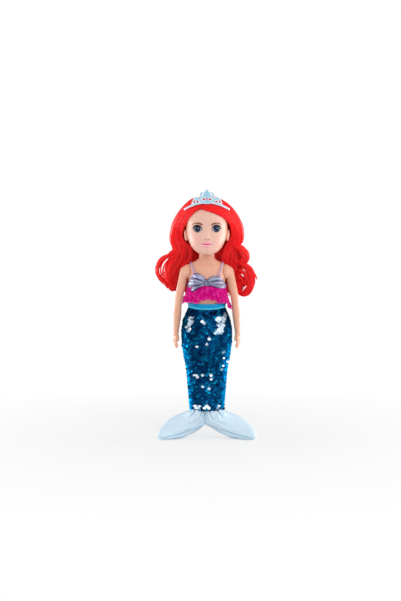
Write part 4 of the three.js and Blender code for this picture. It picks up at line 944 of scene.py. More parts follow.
RIGHT_CURLS = [  # a middle line from root to tip, thickness, strands and twist
    ([(-42, 12, 236), (-48, 9, 231.5), (-55, 6, 228), (-60.3, 4, 222.5), (-62.4, 4, 215), (-61.5, 6, 208),
      (-57.5, 10, 201.5), (-53, 13, 195.5), (-47, 15, 190)], 1.9, 34, 0.7),
    ([(-44, 10, 232), (-51, 6, 227), (-56.2, 3, 220.5), (-58, 2, 212.5), (-56.5, 5, 205),
      (-52, 10, 198)], 0.6, 8, 0.4),
    ([(-45, 9, 228), (-51, 5, 222), (-54.6, 2, 214.5), (-55, 4, 207), (-51.5, 8, 199.5)], 0.8, 10, 0.4),
    ([(-40, 11, 226), (-46, 5, 219), (-49.5, 2, 210), (-49, 4, 201), (-45, 10, 193)], 3.0, 44, 0.8),
]
LEFT_CURLS = [
    ([(33, 9, 244), (38, 4, 241.5), (43.5, 0, 238.5), (48, 0, 233), (48.6, 4, 227), (45, 8, 222.5),
      (39.5, 11, 221), (35, 13, 223.5)], 4.8, 110, 1.0),
    ([(37, 12, 226), (43, 8, 221), (49.5, 3, 216.5), (54.5, 0, 210), (56, 0, 202), (55.2, 3, 194),
      (52.5, 7, 187), (47.5, 10, 182.8), (42.5, 12, 182.5), (39, 12, 186)], 4.7, 120, 0.9),
    ([(38, 10, 212), (43, 6, 211), (47.6, 2, 207.5), (50.2, 1, 202), (49.8, 3, 196),
      (47, 7, 191)], 2.5, 44, 0.7),
    ([(40, 5, 203), (43.5, 4, 201.5), (45.8, 4, 198), (45.2, 4, 193.5)], 0.7, 8, 0.3),
    ([(57, 2, 212), (60.5, 2, 207.5), (62.3, 2, 203), (63.2, 2, 200.5)], 0.4, 6, 0.3),
]


def hair_point(guides, u, t, reach=None):
    """A place on one side's hair: a Catmull-Rom run across the guides at u, then along the strand at t. With
    a reach, places farther out than it are drawn in to it softly."""
    u, t = np.broadcast_arrays(u, t)
    line = smooth_run(guides, u.ravel())
    last = line.shape[1] - 1
    place = np.clip(t.ravel(), 0, 1) * last
    i = np.minimum(place.astype(int), last - 1)
    s = (place - i)[:, None]
    row = np.arange(len(place))
    point = between(*(line[row, np.clip(i + k, 0, last)] for k in (-1, 0, 1, 2)), s)
    if reach is not None:
        over = np.abs(point[:, 0]) - reach(point[:, 2])[0]
        point[:, 0] -= np.sign(point[:, 0]) * REACH_SOFT * np.logaddexp(0, over / REACH_SOFT)
    return point.reshape(u.shape + (3,))


def hair_frame(guides, u, t, reach):
    """Places on the hair with their directions across the strands and outward, from its slopes; near the
    roots, outward is away from the middle of the hair."""
    step = 0.01
    here = hair_point(guides, u, t, reach)
    across = (hair_point(guides, np.minimum(u + step, 1), t, reach)
              - hair_point(guides, np.maximum(u - step, 0), t, reach))
    down = (hair_point(guides, u, np.minimum(t + step, 1), reach)
            - hair_point(guides, u, np.maximum(t - step, 0), reach))
    out = unit(np.cross(across, down))
    away = here - HAIR_MIDDLE
    away[..., 2] = 0.6 * np.clip(here[..., 2] - HAIR_MIDDLE[2], 0, None)
    out = np.sign(np.median((out * away).sum(-1))) * out
    rooted = ease(0.16, 0.03, t + 0 * u)
    out = unit(out + 3 * rooted[..., None] * unit(away))
    inset = HAIR_INSET * ease(0.0, 0.2, u + 0 * t)
    return here - inset[..., None] * out, unit(np.cross(down, out)), out


def hair_mass(guides, reach):
    """The body of one side's hair: the guides' surface moved in, combed into ridges, with a second layer
    inside it and closed edges. Its tone is painted lighter on the ridges and darker between them, as painted
    light and shade."""
    u, t = np.linspace(0, 1, 150)[:, None], np.linspace(0, 0.97, 90)[None, :]
    surface, _, out = hair_frame(guides, u, t, reach)
    comb = (0.5 * np.sin(230 * u + 9 * t) + 0.35 * np.sin(411 * u - 14 * t + 1.0)
            + 0.3 * np.sin(97 * u + 5 * t))
    outer = surface - (MASS_INSET - 0.5 * comb)[..., None] * out
    thick = 4.0 + 2.5 * ease(0.3, 0.55, t) - 3.0 * ease(0.85, 1.0, t)
    thick = thick * (0.2 + 0.8 * ease(0.0, 0.12, u))
    inner = surface - (MASS_INSET + thick)[..., None] * out
    # Painted light and shade: lighter on the combed ridges, darker between them.
    comb_shade = np.clip(0.3 + 0.25 * comb, 0, 1)
    return shell(outer, inner, False), np.concatenate([comb_shade.ravel(), comb_shade.ravel()])


def hair_strands(guides, reach, count, low, high, seed):
    """Strands between the guides: each belongs to a lock, starts at its own place across the guides, draws in
    to its lock's middle on the way down, and waves and coils about it more and more below the ears."""
    own = np.random.default_rng(seed)
    down = np.linspace(0, 1, STRAND_STEPS)
    place = np.sort(own.uniform(low, high, count))
    lock = np.floor(place * LOCKS).astype(int)
    middle = (lock + 0.5) / LOCKS
    span = place[:, None] + (middle - place)[:, None] * 0.7 * ease(0.25, 0.75, down)
    along = down * own.uniform(0.9, 1.0, count)[:, None]
    path, sideways, out = hair_frame(guides, span, along, reach)
    of_lock = np.random.default_rng(seed + 1)
    phase, swing, turns, loose, light = (
        of_lock.uniform(a, b, LOCKS + 1)[lock][:, None]
        for a, b in ((0, 2 * np.pi), (0.6, 1.2), (2.6, 3.6), (0, 1), (-0.16, 0.16)))
    outer = hair_point(guides, span, along) - hair_point(guides, span, along, reach)
    path = path + (loose < LOOSE_SHARE)[..., None] * 0.8 * outer
    crown = 1 - (2 * LOCKS * (place - middle)[:, None]) ** 2
    grow = ease(0.35, 0.8, along) * swing
    angle = 2 * np.pi * turns * along + phase
    spread = own.normal(0, 1, (count, 2))
    depth = own.uniform(0, 1, count)[:, None] ** 1.5
    wave_side = 1.7 * grow * np.sin(angle) + spread[:, :1] * (0.2 + 0.8 * grow)
    wave_out = 1.2 * grow * np.cos(angle) + spread[:, 1:] * (0.1 + 0.5 * grow) - 1.9 * depth
    wave_out += 1.1 * crown * ease(0.1, 0.35, along)
    path = path + wave_side[..., None] * sideways + wave_out[..., None] * out
    radius = own.uniform(STRAND_THIN, STRAND_THICK, count)[:, None]
    radius = radius * (1 - 0.55 * ease(0.6, 1.0, down)) * ease(-0.05, 0.06, down) + 0.05
    # Strands that lie deeper are painted darker: painted shade.
    shade_of = np.clip(own.normal(0.5, 0.12, count) + light[:, 0] - 0.25 * depth[:, 0], 0, 0.9)
    return tubes(path, radius, STRAND_SIDES), np.repeat(shade_of, STRAND_STEPS * STRAND_SIDES)


def hair_curls(curls, seed):
    """Loose curls: strands wound round each curl's middle line, spread to its thickness between thin ends."""
    own = np.random.default_rng(seed)
    down = np.linspace(0, 1, STRAND_STEPS)
    bodies, tones = [], []
    for line, thick, count, twist in curls:
        middle = smooth_run(line, down)
        run = unit(np.gradient(middle, axis=0))
        flat = unit(np.cross(run, np.array([0.0, 1.0, 0.0])))
        level = np.cross(flat, run)
        angle = own.uniform(0, 2 * np.pi, count)[:, None] + 2 * np.pi * twist * down
        swell = 0.25 + 0.75 * ease(0.0, 0.3, down) * ease(1.02, 0.7, down)
        size = thick * np.sqrt(own.uniform(0.3, 1, count))[:, None] * swell
        path = middle + (size * np.cos(angle))[..., None] * flat + (size * np.sin(angle))[..., None] * level
        radius = own.uniform(STRAND_THIN, STRAND_THICK, count)[:, None] * (1 - 0.5 * ease(0.7, 1.0, down))
        bodies.append(tubes(path, radius, STRAND_SIDES))
        shade_of = np.clip(own.normal(0.55, 0.16, count), 0, 1)
        tones.append(np.repeat(shade_of, STRAND_STEPS * STRAND_SIDES))
    return joined(bodies), np.concatenate(tones)


for name, guides, reach, curls, seed in (("right", RIGHT_GUIDES, right_reach, RIGHT_CURLS, 31),
                                         ("left", LEFT_GUIDES, left_reach, LEFT_CURLS, 41)):
    guides = np.array(guides, float)
    mass, comb_shade = hair_mass(guides, reach)
    nodes = ("hair_cap",) if name == "right" else ("hair_back",)
    body = piece("hair_mass_" + name, mass, hair_look, "hair_fibre", None, nodes, tone=comb_shade)
    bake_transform(body)
    for part, low, high, count, step in (("front", 0.0, 0.5, FRONT_STRANDS, 0),
                                         ("back", 0.5, 1.0, BACK_STRANDS, 5)):
        strand_body, tones = hair_strands(guides, reach, count, low, high, seed + step)
        stands = ("hair_%s_lock" % name,) if part == "front" else ()
        made = piece("hair_%s_%s" % (name, part), strand_body, hair_look, "hair_fibre", None, stands,
                     tone=tones)
        if name == "left" and part == "front":
            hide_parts("hair_fringe")
        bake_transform(made)
    strand_body, tones = hair_curls(curls, seed + 9)
    made = piece("hair_%s_curls" % name, strand_body, hair_look, "hair_fibre", None, (), tone=tones)
    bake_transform(made)


# Tiara: a flat openwork drawn by distances, then bent round the hair
TIARA_FOOT = 296.0  # height of its middle
TIARA_DROP = 12.0  # of its ends below the middle
TIARA_HALF = 27.5
TIARA_STAND = 2.1  # off the hair
TIARA_SPAN = np.radians(64)
TIARA_BAND = 3.0
TIARA_DEPTH = 0.75  # from its stand to its middle layer
CELL = 0.22
STONE_UP = 5.2
STONE_SIDES = 8
TIARA_DISCS = [  # place beside the middle, height over the foot, radius
    (0, 6.9, 8.0), (5.5, 10.9, 3.4), (0, 13.3, 3.0), (0, 15.8, 1.7),  # the dome and its scallops
    (8.4, 4.2, 3.0), (12.8, 5.1, 4.8), (16.2, 4.0, 2.2)]  # the side lobes
hair_at = through([  # height, half width, front and back of the hair
    [238.3, 39.56, 4, 31.16], [250.49, 46, 2, 36.48], [262.67, 44.62, -2, 38], [275.5, 39.56, -11.97, 37.62],
    [285.5, 33.12, -26.51, 35.34], [290.5, 28.98, -26.79, 32.68], [297, 21.16, -19.38, 25.46],
    [302.4, 12.42, -10.83, 15.96], [306, 1.38, 0, 2.28],
])


def tiara_drawing(s, h):
    """Signed distance to the tiara's outline, negative inside, at a place across and up: a tapering band, a
    scalloped dome and two side lobes, less its cut-outs, which are leaning ovals and diamonds."""
    away = np.abs(s)
    half = 0.5 * TIARA_BAND * (1 - 0.3 * (s / TIARA_HALF) ** 2)
    solid = np.maximum(np.abs(h - half) - half, away - TIARA_HALF)
    for x, y, radius in TIARA_DISCS:
        solid = np.minimum(solid, np.hypot(away - x, h - y) - radius)
    holes = [
        0.6 * (np.hypot((away - 5.3 + 0.5 * (h - 11.0)) / 0.6, h - 11.0) - 1),
        np.abs(away - 3.5) / 2.0 + np.abs(h - STONE_UP) / 1.5 - 1,
        np.hypot((away - 15.3) / 1.1, (h - 5.0) / 1.6) - 1,
        0.9 * (np.hypot((away - 11.2) / 1.7, (h - 3.9 - 0.5 * (away - 11.2)) / 0.95) - 1),
    ]
    for hole in holes:
        solid = np.maximum(solid, -hole)
    return solid


def bend_tiara(s, h, depth):
    """The flat drawing bent round the front of the hair: its across becomes an angle round the hair's
    section, and its ends come lower than its middle."""
    angle = np.linspace(-TIARA_SPAN, TIARA_SPAN, 241)
    z = TIARA_FOOT - TIARA_DROP * (angle / TIARA_SPAN) ** 2
    wide, front, back = hair_at(z)
    middle, deep = (front + back) / 2, (back - front) / 2
    x = (wide + TIARA_STAND) * np.sin(angle)
    turn = np.interp(s, x, angle)
    wide, middle, deep, foot = (np.interp(turn, angle, v) for v in (wide, middle, deep, z))
    stand = TIARA_STAND + depth
    y = BODY_Y + middle - (deep + stand) * np.cos(turn)
    return np.stack([(wide + stand) * np.sin(turn), y, foot + h], -1)


def tiara_plate():
    """The openwork as a closed plate: square cells inside the outline, their rim points drawn onto it, a
    front and a back layer, and walls between them wherever a cell has no neighbour. Its tone paints the
    beaded rim pale, a painted highlight."""
    s, h = np.meshgrid(np.arange(-30.0, 30.0, CELL), np.arange(-0.66, 18.6, CELL), indexing="ij")
    inside = tiara_drawing((s[:-1, :-1] + s[1:, 1:]) / 2, (h[:-1, :-1] + h[1:, 1:]) / 2) < 0
    ring = np.pad(inside, 1)
    corner = np.stack([ring[:-1, :-1], ring[1:, :-1], ring[:-1, 1:], ring[1:, 1:]])
    used, rim = corner.any(0), corner.any(0) & ~corner.all(0)
    gap = tiara_drawing(s, h)
    slope_s, slope_h = np.gradient(gap, CELL)
    steep = np.maximum(slope_s ** 2 + slope_h ** 2, 0.25)
    pull = np.where(rim, np.clip(gap, -0.8 * CELL, 0.8 * CELL) / steep, 0)
    s, h = s - pull * slope_s, h - pull * slope_h
    number = np.cumsum(used.ravel()).reshape(used.shape) - 1
    depth = np.clip(-gap, 0, None)
    bead = hump(depth, 0.5, 0.4)
    thick = np.where(rim, 0.4, 0.55 + 0.3 * bead)
    outer = bend_tiara(s[used], h[used], TIARA_DEPTH + thick[used])
    inner = bend_tiara(s[used], h[used], TIARA_DEPTH - thick[used])
    count = len(outer)
    i, j = np.nonzero(inside)
    a, b, c, d = number[i, j], number[i + 1, j], number[i + 1, j + 1], number[i, j + 1]
    front = np.stack([a, b, c, d], -1)
    faces = [front, front[:, ::-1] + count]
    for near, first, second in ((ring[1:-1, :-2], a, b), (ring[2:, 1:-1], b, c),
                                (ring[1:-1, 2:], c, d), (ring[:-2, 1:-1], d, a)):
        bare = ~near[i, j]
        p, q = first[bare], second[bare]
        faces.append(np.stack([q, p, p + count, q + count], -1))
    # Pale rim and bead ring: a painted highlight.
    edge = np.where(rim, 0.8, np.clip(bead, 0, 1))[used]
    return (np.concatenate([outer, inner]), [np.concatenate(faces)]), np.concatenate([edge, edge])


plate, rim_highlight = tiara_plate()
piece("tiara_openwork", plate, tiara_look, "tiara_plastic", "tiara", ("tiara",), crease=75, rim=rim_highlight)


def cut_stone():
    """A round faceted stone: eight-sided rings for its girdle, crown and table, facing out of the tiara."""
    turn = 2 * np.pi * np.arange(STONE_SIDES)[None, :] / STONE_SIDES
    rows = np.array([[1.4, 0.0], [1.5, 0.3], [1.15, 0.8], [0.7, 1.0]])  # radius and height of each ring
    across = rows[:, :1] * np.cos(turn)
    up = STONE_UP + rows[:, :1] * np.sin(turn)
    return loft(bend_tiara(across, up, 1.1 + rows[:, 1:] + 0 * turn))


piece("tiara_cut_stone", cut_stone(), stone_look, "pink_stone", "tiara", ("tiara_stone",), crease=15)


# Top: a bandeau gathered into a knot, with straps, a closure behind and a tulle frill under it
top_edge = through([  # place beside the middle, height
    [-26, 195.5], [-23, 197.0], [-20, 203.0], [-17.5, 206.8], [-15, 208.7], [-12, 209.4], [-9, 208.6],
    [-6, 206.8], [-3, 203.8], [-0.5, 201.4], [2.5, 203.0], [5, 204.6], [8, 205.8], [11, 206.1], [14, 205.3],
    [17, 203.3], [20, 200.0], [23, 195.5], [26, 195.0]])
foot_edge = through([
    [-26, 189.8], [-22, 189.6], [-18.5, 187.4], [-15.5, 186.4], [-12, 189.6], [-8, 192.2], [-1, 193.4],
    [6, 193.0], [12, 191.4], [18, 190.2], [26, 189.8]])
strap_at = through([  # share of the length, place beside the middle, height
    [0, 15.0, 205.5], [0.14, 16.1, 210.5], [0.3, 18.4, 217], [0.42, 20.1, 220.9], [0.5, 20.4, 222.0],
    [0.58, 19.8, 220.9], [0.72, 17.0, 215.5], [0.86, 15.6, 208], [1, 15.0, 198]])
frill_drop = through([  # degrees round from the front, height of the hem
    [-180, 171.0], [-120, 170.5], [-98, 173.0], [-84, 171.2], [-66, 173.2], [-45, 173.0], [-25, 171.8],
    [-12, 175.2], [4, 176.2], [20, 174.6], [36, 171.6], [52, 172.2], [64, 169.5], [80, 163.4], [94, 164.4],
    [112, 169.5], [180, 171.0]])
BANDEAU_HALF = 24.4
BANDEAU_STAND = 1.3  # off the torso
BACK_TOP = 198.5  # edges of the bandeau behind
BACK_FOOT = 189.4
PUFF_OUT = 3.2
FOLD_OUT = 1.05
KNOT_X = -0.8
KNOT_Y = BODY_Y - 17.0
KNOT_Z = 196.4
KNOT_PLEATS = 7
STRAP_TOP = 222.0
STRAP_HALF = 1.25
STRAP_STEPS = 90
STRAP_COLUMNS = 9
TAPE_FOOT = 189.2
TAPE_TOP = 198.8
TAPE_HALF = 0.19  # half of the angle that it takes round the back
TAPE_STAND = 2.1
FRILL_TOP = 194.6
FRILL_FLARE = 5.2
BAND_FOOT = 166.8
BAND_TALL = 5.4
BAND_DIP = 3.0  # in the middle of the front


def front_dip(turn):
    """1 in the middle of the front, easing to 0 at the sides and behind."""
    return np.clip(np.cos(turn), 0, 1) ** 2


def bandeau_sheet():
    """Cloth round the chest between a cupped upper and a bowed lower edge, standing off in two puffs, with
    folds that fan out from the knot and lie flat at the upper edge, under the arms and behind."""
    turn = np.linspace(-np.pi, np.pi, 420, endpoint=False)[None, :]
    v = np.linspace(0, 1, 40)[:, None]
    s, c = squared(turn, TORSO_POWER)
    x = BANDEAU_HALF * s
    front = ease(0.0, 0.3, c)
    high = front * top_edge(x)[0] + (1 - front) * BACK_TOP
    low = front * foot_edge(x)[0] + (1 - front) * BACK_FOOT
    z = low + v * (high - low)
    beside = np.abs(x - KNOT_X)
    away = np.hypot(beside, z - KNOT_Z)
    fan = np.arctan2(z - KNOT_Z, beside + 0.6)
    side = np.where(x > KNOT_X, 1.0, -1.0)
    folds = np.sin(9 * fan + 0.9 * side + 0.05 * away) + 0.6 * np.sin(17 * fan - 1.3 * side + 0.1 * away)
    puff = PUFF_OUT * hump(beside, 11.5, 6.8) * np.sin(np.pi * (0.08 + 0.84 * v)) ** 0.8
    puff = puff - 0.9 * hump(beside, 0, 3.5)
    fold = FOLD_OUT * folds * ease(0.5, 5, away) * ease(25, 15, away)
    chest = CHEST_OUT * hump(np.abs(x), CHEST_X, CHEST_HALF) * hump(z, CHEST_Z, CHEST_TALL)
    lay = 1 - 0.8 * ease(0.7, 1.0, v)
    stand = BANDEAU_STAND + front * ((puff + fold) * lay + chest) + 0.12 * np.sin(34 * turn) * (1 - front)
    points = torso_point(turn, z, np.maximum(stand, 1.0 + front * chest))
    # Painted shade: the dark accent goes into the fold valleys near the knot and onto the sides by the arms;
    # bands along the upper and lower edges are darkened too.
    crease = front * ease(-0.1, -1.0, folds) * ease(22, 10, away)
    edge = np.clip(ease(0.09, 0.02, v) + ease(0.91, 0.98, v) + crease + 0.35 * ease(17, 24, beside), 0, 1)
    return cloth(points[::-1], thickness=0.6, wrap=True), np.tile(edge[::-1].ravel(), 2)


body, edge = bandeau_sheet()
bandeau = piece("bandeau_cloth", body, lame_look, "lilac_lame", "torso", ("bandeau",), edge=edge)


def knot():
    """The knot: a small drum of cloth with creases that run down it."""
    up = np.linspace(-0.98, 0.98, 26)[:, None] * np.pi / 2
    turn = np.linspace(0, 2 * np.pi, 40, endpoint=False)[None, :]
    size = np.cos(up) ** 0.6 * (1 + 0.1 * np.sin(KNOT_PLEATS * turn + 3 * up))
    x = KNOT_X + 1.7 * size * np.cos(turn)
    y = KNOT_Y + 2.0 * size * np.sin(turn)
    return loft(np.stack([x, y, KNOT_Z + 3.3 * np.sin(up) + 0 * turn], -1))


body = knot()
round_knot = np.arctan2(body[0][:, 1] - KNOT_Y, body[0][:, 0] - KNOT_X)
# Dark bands round the knot in step with its pleats: painted shade.
piece("bandeau_gather", body, lame_look, "lilac_lame", "torso", ("bandeau_knot",),
      edge=0.35 + 0.35 * np.sin(KNOT_PLEATS * round_knot))


def strap(side):
    """A narrow band of organza from a cup over the shoulder to the back, crinkled along its length."""
    t = np.linspace(0, 1, STRAP_STEPS)[:, None]
    w = np.linspace(-1, 1, STRAP_COLUMNS)[None, :]
    x, z = strap_at(t)
    x = x + STRAP_HALF * w
    z = z - 0.28 * w * hump(t, 0.5, 0.2) * 3
    wide, deep = torso_at(np.minimum(z, STRAP_TOP) - 0.8)
    share = np.clip(1 - np.abs(x / (wide + 0.9)) ** TORSO_POWER, 0, 1) ** (1 / TORSO_POWER)
    fall = np.where(t < 0.5, -1.0, 1.0) * ease(0.0, 0.1, np.abs(t - 0.5))
    chest = CHEST_OUT * hump(x, CHEST_X, CHEST_HALF) * hump(z, CHEST_Z, CHEST_TALL) * (t < 0.5)
    stand = 1.25 + 0.18 * np.sin(55 * t + 2 * w)
    y = BODY_Y + fall * ((deep + stand) * share + chest)
    points = np.stack([side * x, y, z + 0.6], -1)
    return cloth(points if side < 0 else points[:, ::-1], thickness=0.35, wrap=False)


for name, side in (("left_strap", 1), ("right_strap", -1)):
    body = strap(side)
    edge = np.tile(np.abs(np.linspace(-1, 1, STRAP_COLUMNS)) ** 6, 2 * STRAP_STEPS)
    made = piece(name + "_organza", body, organza_look, "lilac_organza", "torso", (name,), edge=edge)


def closure_tape():
    """The closure: a stitched strip of tape down the back of the bandeau."""
    turn = np.pi + np.linspace(-TAPE_HALF, TAPE_HALF, 13)[None, :]
    z = np.linspace(TAPE_FOOT, TAPE_TOP, 25)[:, None]
    stand = TAPE_STAND + 0.15 * np.sin(2.2 * z) * hump(np.abs(turn - np.pi), 0.16, 0.03)
    return cloth(torso_point(turn, z, stand)[::-1], thickness=0.7, wrap=False)


strip = piece("closure_strip", closure_tape(), tape_look, "closure_tape", "torso", ("top_closure",))


def frill_sheet(under, length):
    """Tulle gathered under the bandeau: swirled ruffles that deepen downward, flaring at the sides, with a
    hem that lifts over the belly and drops in points at the sides."""
    turn = np.linspace(-np.pi, np.pi, 520, endpoint=False)[None, :]
    v = np.linspace(0, 1, 40)[:, None]
    side = np.abs(np.sin(turn)) ** 4
    top = FRILL_TOP - 3.0 * ease(0.15, 0.8, np.abs(np.sin(turn)))
    hem = top + (frill_drop(np.degrees(turn))[0] + 0.6 * np.sin(19 * turn + 1.0) - top) * length
    z = top + v * (hem - top)
    swirl = 1.2 * np.sin(3 * turn + 4 * v + under) + 0.7 * np.sin(5 * turn - 3 * v + 2.0)
    crumple = np.sin(11 * turn + 6 * v + swirl + under) * np.sin(8 * turn - 5 * v - 1.3 * swirl + 2 * under)
    ruffle = np.sin(17 * turn + 2.0 * v + swirl) + 0.5 * np.sin(31 * turn - 3.0 * v - swirl)
    flare = v * (1.8 - 0.4 * under) + FRILL_FLARE * side * v ** 2
    stand = (1.5 - 0.4 * under + flare + (0.6 + 0.9 * v) * crumple
             + (0.1 + 1.0 * ease(0.3, 0.9, v)) * (0.5 + 0.5 * ruffle) + 0.5 * np.sin(np.pi * v))
    points = torso_point(turn, z, np.maximum(stand, 1.0))
    # Tone for the lighter pink: painted light along the hem and a painted highlight on the crests of the
    # crumples.
    edge = 0.8 * ease(0.9, 0.99, v) + 0.5 * ease(0.45, 0.95, crumple)
    return cloth(points, thickness=0.3, wrap=True), np.tile(np.clip(edge, 0, 1).ravel(), 2)


for name, under, length, nodes in (("frill_outer", 0.0, 1.0, ("frill",)), ("frill_inner", 1.0, 0.86, ())):
    body, edge = frill_sheet(under, length)
    made = piece(name, body, tulle_look, "pink_tulle", "torso", nodes, edge=edge)


def waist_band():
    """A satin band round the waist that dips and deepens in front: flat-faced with rolled edges, a piped
    lower edge, and small creases."""
    turn = np.linspace(-np.pi, np.pi, 300, endpoint=False)[None, :]
    v = np.linspace(0, 1, 30)[:, None]
    dip = front_dip(turn)
    z = BAND_FOOT - BAND_DIP * dip + v * (BAND_TALL + 1.4 * dip)
    crease = 0.1 * np.sin(29 * turn + 2 * np.sin(5 * turn)) * np.sin(np.pi * v)
    piping = 0.45 * hump(v, 0.1, 0.08)
    stand = 0.55 + 0.95 * np.sin(np.pi * np.clip(0.08 + 0.84 * v, 0, 1)) ** 0.35 + piping + crease
    edge = hump(v, 0.1, 0.1) + 0 * turn
    return cloth(torso_point(turn, z, stand)[::-1], thickness=0.6, wrap=True), np.tile(edge[::-1].ravel(), 2)


body, edge = waist_band()
waistband = piece("waistband_satin", body, band_look, "turquoise_band", "torso", ("waistband",), edge=edge)


# Tail: a knit sleeve covered in rows of two-way sequins
SLEEVE_TOP = 167.8
SLEEVE_COLUMNS = 160
SLEEVE_ROWS = 120
sleeve_at = through([  # height, half width, half depth, place of the middle
    [HEM, 20.5, 16.4, -3.5], [69.4, 23.3, 15.64, -1.4], [87.04, 24.7, 16.63, -0.35], [112.52, 29.3, 18.83, 0],
    [130, 30.8, 18.9, 0], [HIP, 30.6, 18.9, 0], [146, 29.4, 18.5, 0], [LEG_TOP, 27.5, 17.7, 0],
    [158.5, 25.5, 16.6, 0], [163.7, 23.3, 15.0, 0], [169.5, 22.0, 13.8, 0],
])


def sleeve_point(turn, z, grow):
    """A point round the tail: a superellipse at height z, grown outward, at a turn from the front."""
    turn, z, grow = np.broadcast_arrays(turn, z, grow)
    wide, deep, middle = sleeve_at(z)
    s, c = squared(turn, TORSO_POWER)
    return np.stack([(wide + grow) * s, BODY_Y + middle - (deep + grow) * c, z], -1)


def knit_sleeve():
    """The knit under the sequins, from the hem to under the waistband, with shallow wrinkles."""
    turn = np.linspace(-np.pi, np.pi, SLEEVE_COLUMNS, endpoint=False)[None, :]
    high = SLEEVE_TOP - BAND_DIP * front_dip(turn) - HEM
    z = HEM + np.linspace(0, 1, SLEEVE_ROWS)[:, None] * high
    wrinkle = 0.25 * np.sin(7 * turn + 0.12 * z) * np.sin(0.21 * z + 2 * turn) - 0.5
    return cloth(sleeve_point(turn, z, wrinkle), thickness=0.8, wrap=True)


body = knit_sleeve()
sleeve = piece("tail_knit", body, knit_look, "sequin_cloth", None, ("tail_sleeve",),
               edge=np.zeros(len(body[0])))
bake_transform(sleeve)

SEQUIN = 2.3  # radius
SEQUIN_SIDES = 10
SEQUIN_POINTS = 3 * SEQUIN_SIDES + 2
SEQUIN_STAND = 0.75  # off the sleeve
CUP_SHARE = 0.52  # of the radius, to the mid ring
ROW_STEP = 2.4
ROWS_END = 166.0
PAIR_STEP = 7.3  # length round a row that two sequins take
SEQUIN_TOP = 165.4  # where the rows go under the waistband
SEQUIN_DIP = 2.6
BACK_SPOTS = 15  # flipped patches behind, at random places
NEVER = 100.0  # far outside a patch
LIFTED_SHARE = 0.09  # of the sequins, which stand off the cloth a little
SILVER_SPOTS = [  # middle and half sizes, across and up, of the flipped patches in front
    (-19.8, 151.5, 3.6, 4.2), (-22.6, 143.0, 2.8, 6.0), (21.6, 157.0, 2.0, 4.4), (16.8, 151.2, 5.4, 4.2),
    (18.0, 144.4, 5.0, 4.6), (16.4, 137.2, 4.8, 4.0), (-5.4, 151.4, 1.8, 1.6), (-0.8, 148.0, 2.2, 1.7),
    (9.0, 135.4, 1.8, 1.5), (1.6, 128.2, 2.2, 1.6), (-1.4, 121.6, 2.2, 1.6), (-13.4, 119.4, 2.3, 1.6),
    (21.2, 110.8, 1.8, 1.7), (21.2, 104.4, 1.8, 1.6), (26.0, 99.6, 1.8, 2.2), (20.8, 94.6, 2.4, 1.7),
    (18.2, 90.8, 1.5, 1.4), (-14.8, 83.4, 2.2, 1.6), (-11.6, 80.0, 2.0, 1.5), (-6.4, 82.2, 2.0, 1.5),
    (5.8, 83.0, 1.8, 1.5), (5.2, 79.0, 1.8, 1.4), (-4.6, 69.6, 1.8, 1.4), (2.2, 67.0, 2.2, 1.5),
    (-11.6, 43.2, 4.6, 2.4), (0.6, 43.0, 4.6, 2.4), (14.6, 42.6, 2.2, 2.2)]


def sequin_places():
    """Staggered rows round the sleeve, up to the waistband: for each sequin its turn and height."""
    rows = np.arange(HEM + ROW_STEP, ROWS_END, ROW_STEP)
    wide, deep, _ = sleeve_at(rows)
    counts = 2 * np.round(np.pi * (wide + deep) * 1.06 / PAIR_STEP).astype(int)
    turn = np.concatenate([2 * np.pi * (np.arange(n) + 0.5 * (k % 2)) / n - np.pi
                           for k, n in enumerate(counts)])
    z = np.repeat(rows, counts)
    kept = z < SEQUIN_TOP - SEQUIN_DIP * front_dip(turn)
    return turn[kept], z[kept]


def sequins(turn, z, tilt):
    """Cupped discs laid on the sleeve like scales: a rim, a lower mid ring and a middle, doubled for a thin
    back. Each lies along the cloth with its lower edge lifted over the row below."""
    here = sleeve_point(turn, z, SEQUIN_STAND)
    level = unit(sleeve_point(turn + 0.01, z, SEQUIN_STAND) - sleeve_point(turn - 0.01, z, SEQUIN_STAND))
    rise = unit(sleeve_point(turn, z + 0.5, SEQUIN_STAND) - sleeve_point(turn, z - 0.5, SEQUIN_STAND))
    out = unit(np.cross(level, rise))
    lean, roll = tilt[:, :1], tilt[:, 1:]
    up = rise * np.cos(lean) - out * np.sin(lean)
    out = out * np.cos(lean) + rise * np.sin(lean)
    level, out = level * np.cos(roll) - out * np.sin(roll), out * np.cos(roll) + level * np.sin(roll)
    sides = SEQUIN_SIDES
    k = np.arange(sides)
    n = (k + 1) % sides
    angle = 2 * np.pi * k / sides
    circle = np.stack([np.cos(angle), np.sin(angle)], -1)
    cup = CUP_SHARE * SEQUIN * circle
    flat = np.concatenate([SEQUIN * circle, cup, [[0, 0]], cup, [[0, 0]]])
    lift = np.concatenate([np.full(sides, 0.2), np.full(sides, 0.0), [-0.05], np.full(sides, -0.13), [-0.18]])
    points = (here[:, None] + flat[:, :1] * level[:, None] + flat[:, 1:] * up[:, None]
              + lift[:, None] * out[:, None]).reshape(-1, 3)
    middle = 2 * sides
    back = middle + 1
    quads = np.concatenate([np.stack([k, n, sides + n, sides + k], -1),
                            np.stack([n, k, back + k, back + n], -1)])
    fans = np.concatenate([np.stack([sides + k, sides + n, middle + 0 * k], -1),
                           np.stack([back + n, back + k, back + sides + 0 * k], -1)])
    base = (SEQUIN_POINTS * np.arange(len(turn)))[:, None, None]
    return points, [(base + quads).reshape(-1, 4), (base + fans).reshape(-1, 3)]


